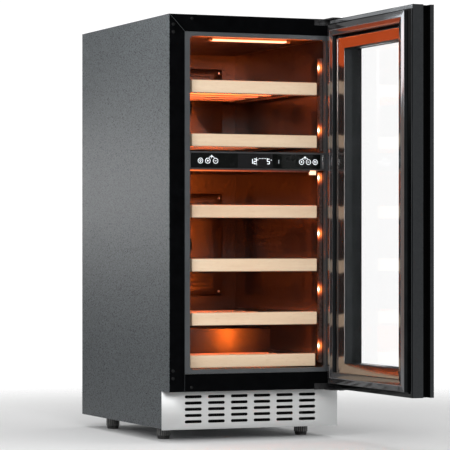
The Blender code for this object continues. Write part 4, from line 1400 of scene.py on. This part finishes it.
def barDetails():
    given = barSettings
    low = cabinetBox("control_bar")[0]
    glassLow, glassHigh = cabinetBox("touch_panel")
    z0, z1 = glassLow.z + given["margin"], glassHigh.z - given["margin"]
    # a thin plated strip at the bar's right end, standing in for a seam highlight
    x0, x1 = (glassHigh.x + x for x in given["lineX"])
    y0, y1 = given["lineY"]
    bm = bmesh.new()
    addBox(bm, (x0, low.y - y0, z0), (x1, low.y + y1, z1), 0.0002)
    makePiece("barEndHighlight", bm, plated, "cabinet")
    x0, x1 = given["windowX"]
    y0, y1 = (glassLow.y - y for y in given["windowY"])
    bm = bmesh.new()
    addBox(bm, (x0, y0, z0), (x1, y1, z1))
    makePiece("displayWindow", bm, printBlack, "cabinet")
    across = (low.x + given["lensX"][0], given["lensX"][1])
    glowBar("barLampLens", across, given["lensY"], below(low.z, given["lensZ"]), *given["lensGlow"])
    x0, x1 = given["sensorX"]
    y0, y1 = given["sensorY"]
    z0, z1 = below(low.z, given["sensorZ"])
    bm = bmesh.new()
    addBox(bm, (x0, y0, z0), (x1, y1, z1), 0.0008)
    makePiece("sensorLamp", bm, lampLens, "cabinet")


def below(level, drops):
    return tuple(level - drop for drop in drops)


stripSettings = {
    "upper": (0.7455, 0.6195),
    "lower": (0.5244, 0.4122, 0.3000, 0.1862),
    "crown": 0.0004,
    "shoulder": 0.0012,
    "crownHalf": 0.0035,
    "glowReach": (0.008, 0.0105),
    "leastGlow": 0.04,
    "step": 0.003,
    "chipRadius": 0.0026,
    "chipFlatness": 0.45,
}


def loft(bm, rings):
    # closes a row of vertex rings into one body
    faces = [bm.faces.new(rings[0]), bm.faces.new(rings[-1])]
    sides = len(rings[0])
    for one, two in zip(rings, rings[1:]):
        for k in range(sides):
            faces.append(bm.faces.new([one[k], one[(k + 1) % sides], two[(k + 1) % sides], two[k]]))
    bmesh.ops.recalc_face_normals(bm, faces=faces)


def ledStrip(zone):
    given = stripSettings
    node = f"led_channel_{zone}"
    low, high = cabinetBox(node)
    chips = [z for z in given[zone] if low.z < z < high.z]
    middle = (low.y + high.y) / 2
    crown, shoulder, half = low.x + given["crown"], low.x + given["shoulder"], given["crownHalf"]
    section = [
        (high.x, low.y),
        (shoulder, low.y),
        (crown, middle - half),
        (low.x, middle),
        (crown, middle + half),
        (shoulder, high.y),
        (high.x, high.y),
    ]
    reachY, reachZ = given["glowReach"]
    count = int((high.z - low.z) / given["step"])
    bm = bmesh.new()
    glow = bm.verts.layers.float.new("glow")
    rings = []
    for k in range(count + 1):
        z = low.z + (high.z - low.z) * k / count
        near = sum(math.exp(-(((z - chip) / reachZ) ** 2)) for chip in chips)
        ring = [bm.verts.new((x, y, z)) for x, y in section]
        for vert in ring:
            fade = math.exp(-(((vert.co.y - middle) / reachY) ** 2))
            vert[glow] = min(1.0, given["leastGlow"] + near * fade)
        rings.append(ring)
    loft(bm, rings)
    label = zone.capitalize()
    makePiece(f"ledStrip{label}", bm, stripLens, "cabinet", stands=[node])
    points = pointsMesh([(crown, middle, chip) for chip in chips])
    sizes = {"radius": given["chipRadius"], "flatness": given["chipFlatness"]}
    mesh = grow(domes, chipLens, points, **sizes)
    makePiece(f"ledChips{label}", mesh, chipLens, "cabinet")


def glowBar(name, xs, ys, zs, first, last, stands=()):
    # a lit bar along X, brightest along its lower front edge
    steps, chamfer = 24, 0.0008
    middleY, middleZ = (ys[0] + ys[1]) / 2, (zs[0] + zs[1]) / 2
    section = [
        (ys[0], middleZ, 1.0),
        (ys[0] + chamfer, zs[0], 1.0),
        (middleY, zs[0], 1.0),
        (ys[1] - chamfer, zs[0], 0.8),
        (ys[1], middleZ, 0.5),
        (ys[1] - chamfer, zs[1], 0.25),
        (ys[0] + chamfer, zs[1], 0.25),
    ]
    bm = bmesh.new()
    glow = bm.verts.layers.float.new("glow")
    rings = []
    for k in range(steps + 1):
        part = k / steps
        x = xs[0] + (xs[1] - xs[0]) * part
        ring = []
        for y, z, share in section:
            vert = bm.verts.new((x, y, z))
            vert[glow] = share * (first + (last - first) * part)
            ring.append(vert)
        rings.append(ring)
    loft(bm, rings)
    makePiece(name, bm, stripLens, "cabinet", stands=stands)


ceilingSettings = {
    "glow": 0.82,
    "capX": (0.0003, 0.008),
    "lip": 0.001,
    "drop": 0.0005,
    "rounding": 0.0012,
}


def ceilingLamp():
    given = ceilingSettings
    low, high = cabinetBox("ceiling_light")
    spans = zip(low, high)
    glowBar("ceilingLens", *spans, given["glow"], given["glow"], ["ceiling_light"])
    lip = given["lip"]
    bm = bmesh.new()
    for side in (-1, 1):
        x0, x1 = sorted((high.x + reach) * side for reach in given["capX"])
        first, last = (x0, low.y - lip, low.z - given["drop"]), (x1, high.y + lip, high.z)
        addBox(bm, first, last, given["rounding"])
    makePiece("ceilingLampEnds", bm, plastic, "cabinet")


airSettings = {
    "holeRadius": 0.0400,
    "holeSlack": 0.0002,
    "cutDepth": 0.05,
    "rounding": 0.0025,
    "slotLength": 0.046,
    "slotRadius": 0.0020,
    "columns": 3,
    "pitchX": 0.058,
    "pitchZ": 0.0095,
    "guardWire": 0.0007,
    "guardRings": 5,
    "guardSpokes": 6,
    "guardIn": 0.0012,
    "screwInset": 0.009,
    "screwRadius": 0.0028,
    "screwHeight": 0.0010,
}


def airCover(zone, rowsAbove, rowsBelow):
    given = airSettings
    node = f"{zone}_air_cover"
    low, high = cabinetBox(node)
    middle = (low + high) / 2
    hole, depth = given["holeRadius"], given["cutDepth"]
    bm = bmesh.new()
    addBox(bm, low, high, given["rounding"], 3)
    sizes = {"columns": 1, "rows": 1, "length": 2 * hole + given["holeSlack"], "radius": hole}
    mesh = grow(slots, liner, meshOf(bm, "cover"), middle=tuple(middle), depth=depth, **sizes)
    for rows, side, edge in ((rowsAbove, 1, high.z), (rowsBelow, -1, low.z)):
        place = (0.0, middle.y, (edge + middle.z + side * hole) / 2)
        sizes = {key: given[key] for key in ("columns", "pitchX", "pitchZ")}
        sizes.update(rows=rows, length=given["slotLength"], radius=given["slotRadius"])
        mesh = grow(slots, liner, mesh, middle=place, depth=depth, **sizes)
    makePiece(f"airCover{zone.capitalize()}", mesh, liner, "cabinet", stands=[node])


def fanGuard(zone):
    # wire guard and the four screws of one air cover
    given = airSettings
    low, high = cabinetBox(f"{zone}_air_cover")
    label = zone.capitalize()
    sizes = {
        "rings": given["guardRings"],
        "ringStep": given["holeRadius"] / given["guardRings"],
        "spokes": given["guardSpokes"],
        "wire": given["guardWire"],
        "middle": (0.0, low.y + given["guardIn"], (low.z + high.z) / 2),
    }
    makePiece(f"fanGuard{label}", grow(guard, plastic, **sizes), plastic, "cabinet")
    edge = given["screwInset"]
    columns, levels = (low.x + edge, high.x - edge), (low.z + edge, high.z - edge)
    points = pointsMesh([(x, low.y, z) for x in columns for z in levels])
    sizes = {"radius": given["screwRadius"], "height": given["screwHeight"], "turn": forward}
    mesh = grow(screws, plated, points, **sizes)
    makePiece(f"coverScrews{label}", mesh, plated, "cabinet")


doorSettings = {
    "sealWidth": 0.0226,
    "sealRise": 0.80,
    "sealCap": [(0.0004, 0.81), (0.0004, 0.87), (0.0010, 0.895)],
    "sealCrown": (0.0010, 0.955),
    "beadHalf": 0.0004,
    "lineRise": (1.002, 1.02),
    "rim": (0.0120, 0.0080, 0.0080),
    "slope": (0.0462, 0.0412, 0.0332),
    "window": (0.0660, 0.0600, 0.0520),
    "rimFront": -0.0088,
    "rimBack": -0.0117,
    "rimGap": 0.0024,
    "slopeDepth": -0.0148,
    "slopeSheet": 0.0012,
    "revealWall": 0.004,
    "hingeBevel": 0.0060,
    "flangeY": (0.0001, 0.0009),
    "flangeMargin": 0.0010,
    "ridge": (0.0026, 0.0007),
    "groove": (-0.0485, -0.0335),
    "grooveDepth": 0.0150,
    "liningWall": 0.0009,
    "glassEdge": 0.0034,
    "printReach": 0.0012,
    "printY": (0.00005, 0.00025),
    "frontY": (-0.0002, -0.00003),
    "clear": 0.0003,
}


def inset(values, y, radius=0.0):
    # a loop inset from the door's sides, top and bottom
    side, top, bottom = values
    low, high = doorBox("door_frame")
    return (low.x + side, high.x - side, low.z + bottom, high.z - top, y, radius)


def sealRing(name, section, finish, stands=()):
    low, high = doorBox("door_gasket")
    tall = high.y - low.y
    loops = [
        (low.x + i, high.x - i, low.z + i, high.z - i, low.y + tall * rise, 0.0) for i, rise in section
    ]
    bm = bmesh.new()
    addFrame(bm, loops)
    makePiece(name, bm, finish, "door", doorPlace, stands)


def doorSeal():
    # soft dark body, and a smooth cap with one fine bead along its middle; the cap's metallic finish is a
    # painted sheen and the bead's pale grey a painted highlight
    given = doorSettings
    wide, rise, half = given["sealWidth"], given["sealRise"], given["beadHalf"]
    beadIn, beadOut = wide / 2 - half, wide / 2 + half
    body = [(0.0, 0.0), (0.0, rise), (wide, rise), (wide, 0.0)]
    sealRing("doorSealBody", body, sealDark, ["door_gasket"])
    crownIn, crownRise = given["sealCrown"]
    cap = [*given["sealCap"], (wide / 2 - crownIn, crownRise)]
    mirrored = [(wide - i, height) for i, height in reversed(cap)]
    sealRing("doorSealCap", [*cap, (beadIn, 1.0), (beadOut, 1.0), *mirrored], sealSheen)
    bottom, top = given["lineRise"]
    line = [(beadIn, bottom), (beadIn, top), (beadOut, top), (beadOut, bottom)]
    sealRing("doorSealBeadHighlight", line, sealBeadHighlight)


def doorRim():
    # flat dark rim under the seal
    given = doorSettings
    front, back = given["rimFront"], given["rimBack"]
    inner = tuple(s - given["rimGap"] for s in given["slope"])
    loops = [(given["rim"], back), (given["rim"], front), (inner, front), (inner, back)]
    bm = bmesh.new()
    addFrame(bm, [inset(values, y) for values, y in loops])
    makePiece("doorRim", bm, rimBlack, "door", doorPlace, ["door_inner_frame"])


def doorSlope():
    # a raised bead, then the bright slope round the window
    given = doorSettings
    front, back, deep = given["rimFront"], given["rimBack"], given["slopeDepth"]
    sheet, slope = given["slopeSheet"], given["slope"]
    inner = tuple(w - given["clear"] for w in given["window"])
    outer = tuple(s - given["rimGap"] + 0.0002 for s in slope)
    loops = [
        (outer, back),
        (outer, front + 0.0006),
        (tuple(s - sheet for s in slope), front + 0.0008),
        (slope, front + 0.0002),
        (slope, front - sheet),
        (inner, deep),
        (inner, deep - sheet),
        (tuple(s + 0.001 for s in outer), back - 0.0006),
    ]
    bm = bmesh.new()
    addFrame(bm, [inset(values, y) for values, y in loops])
    makePiece("doorSlope", bm, slopeBright, "door", doorPlace)


def doorReveal():
    # one smooth wall from the slope down to the outer pane, round the inner pane
    given = doorSettings
    window = given["window"]
    outer = tuple(w - given["revealWall"] for w in window)
    front = given["slopeDepth"] - 0.0014
    back = doorBox("door_outer_glass")[1].y + given["clear"]
    bm = bmesh.new()
    addFrame(bm, [inset(outer, front), inset(window, front), inset(window, back), inset(outer, back)])
    makePiece("doorReveal", bm, revealDark, "door", doorPlace, ["door_glass_spacer"])


def innerPane():
    low, high = doorBox("door_inner_glass")
    clear = doorSettings["clear"]
    x0, x1, z0, z1, _, _ = inset(doorSettings["window"], 0.0)
    bm = bmesh.new()
    addBox(bm, (x0 + clear, low.y, z0 + clear), (x1 - clear, high.y, z1 - clear), 0.0004, 1)
    makePiece("innerPane", bm, innerGlass, "door", doorPlace, ["door_inner_glass"])


def doorBackSheet():
    # a bright metal flange along the top of the door's inner face as a painted highlight, and black ones
    # on the other sides as painted shade
    given = doorSettings
    low, high = doorBox("door_frame")
    near, far = (high.y + y for y in given["flangeY"])
    margin = given["flangeMargin"]
    side, top, bottom = (edge - 0.0006 for edge in given["rim"])
    x0, x1 = low.x + margin, high.x - given["hingeBevel"] - 0.0006
    z0, z1 = low.z + margin, high.z - margin
    ledge, head = low.z + bottom, high.z - top
    left, right = low.x + side, max(high.x - side, x1 - 0.004)
    bm = bmesh.new()
    addBox(bm, (x0, near, head), (x1, far, z1), 0.0002, 1)
    makePiece("doorTopFlange", bm, topFlangeHighlight, "door", doorPlace)
    # the side and bottom flanges in black: painted shade
    bm = bmesh.new()
    addBox(bm, (x0, near, ledge + 0.0002), (left, far, head - 0.0002), 0.0002, 1)
    addBox(bm, (x0, near, z0), (x1, far, ledge), 0.0002, 1)
    addBox(bm, (right, near, ledge + 0.0002), (x1, far, head - 0.0002), 0.0002, 1)
    makePiece("doorSideFlanges", bm, rimBlack, "door", doorPlace)
    # a grey ridge near the free edge, lighter than the black flanges as a painted highlight line
    start, wide = given["ridge"]
    x = low.x + start
    bm = bmesh.new()
    addBox(bm, (x, far + 0.0001, ledge), (x + wide, far + 0.0006, head - 0.0004), 0.0001, 1)
    makePiece("doorFlangeRidge", bm, stripGrey, "door", doorPlace)


def grooveShadeLining():
    # black sheet lining the finger groove down the free edge: painted shade
    given = doorSettings
    low, high = doorBox("door_frame")
    wall = given["liningWall"]
    y0, y1 = given["groove"][0] + 0.0002, given["groove"][1] - 0.0002
    x0, x1 = low.x + 0.0006, low.x + given["grooveDepth"] - 0.0002
    z0, z1 = low.z + 0.0004, high.z - 0.0004
    front, back = given["groove"][0] + wall, given["groove"][1] - wall
    bm = bmesh.new()
    addBox(bm, (x0, y0, z0), (x1, front, z1), 0.0002, 1)
    addBox(bm, (x0, back, z0), (x1, y1, z1), 0.0002, 1)
    addBox(bm, (x1 - wall, front + 0.0001, z0), (x1, back - 0.0001, z1), 0.0002, 1)
    makePiece("grooveShadeLining", bm, grooveShadeBlack, "door", doorPlace)


def glassBorders():
    # black print on the back of the outer pane, and the dark border seen on its front
    given = doorSettings
    low, high = doorBox("door_outer_glass")
    border = (given["glassEdge"],) * 3
    window = tuple(w - given["printReach"] for w in given["window"])
    near, far = (high.y + y for y in given["printY"])
    loops = [(border, near), (window, near), (window, far), (border, far)]
    bm = bmesh.new()
    addFrame(bm, [inset(values, y, 0.001) for values, y in loops])
    makePiece("glassBorder", bm, printBlack, "door", doorPlace)
    near, far = (low.y + y for y in given["frontY"])
    loops = [(border, near), (border, far), (window, far), (window, near)]
    bm = bmesh.new()
    addFrame(bm, [inset(values, y) for values, y in loops])
    makePiece("frontBorder", bm, borderGlass, "door", doorPlace)


footSettings = {
    "radius": 0.0137,
    "collar": 0.0022,
    "ribs": 20,
    "ribSize": (0.0016, 0.0022, 0.0152),
    "ribShare": 0.955,
    "ribBase": 0.0072,
    "base": ((0.80, 0.0), (0.84, 0.0004), (0.92, 0.0062), (0.955, 0.0070)),
    "stemRadius": 0.0048,
    "threadDepth": 0.0005,
    "thread": 0.0012,
    "topGap": 0.0005,
}


def footStem(top, end):
    # threaded stem, one ridge for each turn
    given = footSettings
    radius, pitch = given["stemRadius"], given["thread"]
    stem = [(0, top - 0.001), (radius, top - 0.001)]
    z = top
    while z < end - pitch:
        stem += [(radius - given["threadDepth"], z), (radius, z + pitch / 2)]
        z += pitch
    return [*stem, (radius * 0.85, end - 0.0001), (0, end - 0.0001)]


def foot(node):
    given = footSettings
    low, high = cabinetBox(node)
    x, y = (low.x + high.x) / 2, (low.y + high.y) / 2
    top = cabinetBox("base_pan")[0].z - given["topGap"]
    radius, collar = given["radius"], top - given["collar"]
    tread = [(radius * share, z) for share, z in given["base"]]
    head = [(radius * 0.975, collar - 0.0008), (radius, collar)]
    head += [(radius, top - 0.0004), (radius * 0.97, top)]
    bm = bmesh.new()
    addTurned(bm, [(0, 0), *tread, *head, (0, top)], (x, y, 0), "Z", 40)
    addTurned(bm, footStem(top, high.z), (x, y, 0), "Z", 20)
    base = meshOf(bm, "foot")
    base.materials.append(treadRubber)
    middle = (x, y, given["ribBase"] + given["ribSize"][2] / 2)
    reach = radius * given["ribShare"]
    sizes = {"count": given["ribs"], "radius": reach, "size": given["ribSize"], "middle": middle}
    # the ribs take the pale rubber: a painted highlight
    ribbed = grow(ribs, ribHighlightRubber, **sizes)
    first, *words = node.split("_")
    name = first + "".join(word.capitalize() for word in words)
    makePiece(name, joinMeshes([base, ribbed]), treadRubber, node, stands=[node])


finSettings = {
    "count": 60,
    "halfSpan": 0.118,
    "front": 0.0012,
    "sheet": 0.0006,
    "depth": 0.0016,
    "margin": 0.004,
}


def condenserFins():
    given = finSettings
    low, high = cabinetBox("condenser")
    half, count = given["halfSpan"], given["count"]
    sizes = {
        "count": count,
        "start": (-half, low.y - given["front"], (low.z + high.z) / 2),
        "step": (2 * half / (count - 1), 0.0, 0.0),
        "size": (given["sheet"], given["depth"], high.z - low.z - given["margin"]),
    }
    makePiece("condenserFins", grow(row, coilBlack, **sizes), coilBlack, "cabinet")


pipeSettings = {
    # each route's x and y are from the middle of the compressor, its z from the floor
    "radius": 0.0030,
    "routes": [
        [
            (-0.030, -0.050, 0.105),
            (-0.050, -0.095, 0.100),
            (-0.075, -0.150, 0.088),
            (-0.100, -0.220, 0.070),
            (-0.165, -0.300, 0.062),
            (-0.184, -0.325, 0.060),
        ],
        [
            (0.040, -0.045, 0.120),
            (0.066, -0.080, 0.112),
            (0.084, -0.130, 0.096),
            (0.088, -0.220, 0.086),
            (0.080, -0.300, 0.092),
        ],
    ],
}


def copperPipes():
    low, high = cabinetBox("compressor")
    x, y = (low.x + high.x) / 2, (low.y + high.y) / 2
    bm = bmesh.new()
    for route in pipeSettings["routes"]:
        path = [(x + i, y + j, z) for i, j, z in route]
        addTube(bm, smoothPath(path), pipeSettings["radius"], 12)
    makePiece("copperPipes", bm, copper, "cabinet")


def floorMaterial():
    finish, tree, shader, spot = startFinish("paleFloor", {"Roughness": 0.7, "Specular IOR Level": 0.2})
    shader.inputs["Base Color"].default_value = (0.86, 0.86, 0.86, 1)
    far = put(tree, "ShaderNodeVectorMath", {0: spot}, operation="LENGTH").outputs["Value"]
    fade = put(
        tree,
        "ShaderNodeMapRange",
        {"Value": far, "From Min": 0.7, "From Max": 2.2, "To Min": 1.0, "To Max": 0.0},
        interpolation_type="SMOOTHSTEP",
    )
    tree.links.new(fade.outputs[0], shader.inputs["Alpha"])
    return finish


def softLight(name, spot, target, size, power, colour=(1, 1, 1)):
    light = bpy.data.lights.new(name, "AREA")
    light.shape = "RECTANGLE"
    light.size, light.size_y = size
    light.energy = power
    light.color = colour
    lamp = bpy.data.objects.new(name, light)
    lamp.location = spot
    lamp.rotation_mode = "QUATERNION"
    way = Vector(target) - Vector(spot)
    lamp.rotation_quaternion = way.to_track_quat("-Z", "Y")
    lamp.visible_camera = False
    lamp.visible_transmission = False
    light.spread = math.radians(studioSettings["spread"])
    bpy.context.scene.collection.objects.link(lamp)
    return lamp


lampSettings = {
    "amber": (1.0, 0.15, 0.014),
    "ceiling": ((0, 0.055, -0.004), (0, 0.9, -1), (0.16, 0.02), 1.6),
    "ceilingWash": ((0, 0.035, -0.012), (0, 0.1, 1), (0.24, 0.03), 1.1),
    "underBar": ((0, 0.034, -0.008), (0, 1.0, -1), (0.24, 0.02), 0.9),
    "strip": 1.4,
    "stripLength": 0.38,  # the length that this power belongs to
    "stripWidth": 0.010,
    "stripGap": 0.003,
    "stripY": 0.060,
    "stripWay": (1.0, 1.7, 0),
}


studioSettings = {
    "floorRadius": 3.0,
    "spread": 140,
    "strength": (0.26, 1.08),  # for lighting, and as the camera sees it
    "lights": [
        ("sideGlow", (-1.15, 2.10, 0.55), (-0.19, 0.15, 0.46), (0.75, 0.24), 2.6),
        ("keyLeft", (-2.4, -2.2, 1.5), (0, 0, 0.5), (1.2, 1.2), 26),
        ("front", (-0.9, -3.6, 1.3), (0, 0, 0.35), (1.4, 1.0), 44),
        ("overhead", (0.0, 0.1, 2.8), (0, 0, 0.4), (2.2, 2.2), 24),
        ("doorGlow", (0.02, -0.02, 0.78), (0.30, -0.24, 0.80), (0.12, 0.07), 0.020, (1, 0.13, 0.012)),
        ("right", (2.6, -0.6, 1.0), (0, 0, 0.45), (1.0, 1.8), 9),
    ],
    "reflectors": [
        ("backPanel", (-1.55, 1.05, 1.45), (0.22, -0.30, 0.80), (1.5, 1.1), 15.0, (0.90, 0.96, 1.0)),
        ("warmTop", (-0.205, -0.120, 0.80), (0.25, -0.45, 0.80), (0.10, 0.17), 0.030, (1.0, 0.20, 0.03)),
        ("warmLow", (-0.205, -0.120, 0.40), (0.25, -0.45, 0.40), (0.10, 0.58), 0.035, (1.0, 0.55, 0.36)),
    ],
}


def layFloor():
    bm = bmesh.new()
    bmesh.ops.create_circle(bm, cap_ends=True, segments=64, radius=studioSettings["floorRadius"])
    mesh = meshOf(bm, "floor")
    mesh.materials.append(floorMaterial())
    floor = bpy.data.objects.new("floor", mesh)
    bpy.context.scene.collection.objects.link(floor)


def whiteWorld():
    # bright behind the piece and through its glass, dimmer as a light
    world = bpy.data.worlds.new("studio")
    bpy.context.scene.world = world
    world.use_nodes = True
    tree = world.node_tree
    background = tree.nodes["Background"]
    path = tree.nodes.new("ShaderNodeLightPath").outputs
    rays = {0: path["Is Camera Ray"], 1: path["Is Transmission Ray"]}
    seen = put(tree, "ShaderNodeMath", rays, operation="MAXIMUM").outputs[0]
    dim, bright = studioSettings["strength"]
    levels = {"Value": seen, "To Min": dim, "To Max": bright}
    background.inputs["Color"].default_value = (1, 1, 1, 1)
    tree.links.new(put(tree, "ShaderNodeMapRange", levels).outputs[0], background.inputs["Strength"])


def studio():
    layFloor()
    whiteWorld()
    for light in studioSettings["lights"]:
        softLight(*light)
    for light in studioSettings["reflectors"]:
        softLight(*light).visible_diffuse = False


def cabinetLamps():
    given = lampSettings
    amber = given["amber"]
    for name, key, node in (
        ("ceilingGlow", "ceiling", "ceiling_light"),
        ("ceilingWash", "ceilingWash", "ceiling_light"),
        ("barGlow", "underBar", "control_bar"),
    ):
        place, way, size, power = given[key]
        level = Vector((0, 0, cabinetBox(node)[0].z))
        spot = cabinetPlace @ (level + Vector(place))
        softLight(name, spot, spot + Vector(way), size, power, amber)
    for zone in ("upper", "lower"):
        low, high = cabinetBox(f"led_channel_{zone}")
        tall, middle = high.z - low.z, (low.z + high.z) / 2
        power = given["strip"] * tall / given["stripLength"]
        wayX, wayY, wayZ = given["stripWay"]
        for side in (-1, 1):
            spot = cabinetPlace @ Vector((side * (low.x - given["stripGap"]), given["stripY"], middle))
            way = Vector((-side * wayX, wayY, wayZ))
            softLight(f"{zone}Glow{side}", spot, spot + way, (given["stripWidth"], tall), power, amber)


cameraSettings = {
    "lens": 201.4,
    "sensor": 36,
    "shift": 0.0471,
    "spot": (-1.9420, -4.5957, 0.3867),
    "turn": -22.14,
}


def camera():
    given = cameraSettings
    lens = bpy.data.cameras.new("camera")
    lens.lens = given["lens"]
    lens.sensor_width = given["sensor"]
    lens.shift_y = given["shift"]
    seat = bpy.data.objects.new("camera", lens)
    seat.location = cabinetPlace @ Vector(given["spot"])
    seat.rotation_euler = (math.radians(90), 0, math.radians(given["turn"]))
    bpy.context.scene.collection.objects.link(seat)
    bpy.context.scene.camera = seat


dressNodes()
print("frame nodes dressed")
kickPanel()
frontPlugs()
bracketScrews()
backScrews()
railJointHighlights()
backPlugs()
topHem()
print("cabinet details done")
for shelfNumber in shelfNumbers:
    shelfSlats(shelfNumber)
    shelfRunners(shelfNumber)
    shelfScrews(shelfNumber)
wallSlides()
print("shelves done")
panelPrint()
barDetails()
for zoneName in ("upper", "lower"):
    ledStrip(zoneName)
ceilingLamp()
for zoneName, rowCount in (("upper", 2), ("lower", 4)):
    airCover(zoneName, rowCount, rowCount)
    fanGuard(zoneName)
print("inside done")
doorSeal()
doorRim()
doorSlope()
doorReveal()
innerPane()
doorBackSheet()
grooveShadeLining()
glassBorders()
print("door done")
for footName in ("foot_front_left", "foot_front_right", "foot_rear_left", "foot_rear_right"):
    foot(footName)
condenserFins()
copperPipes()
print("feet and machine space done")
studio()
cabinetLamps()
camera()
bpy.context.scene.view_settings.view_transform = "Standard"
print("studio ready")
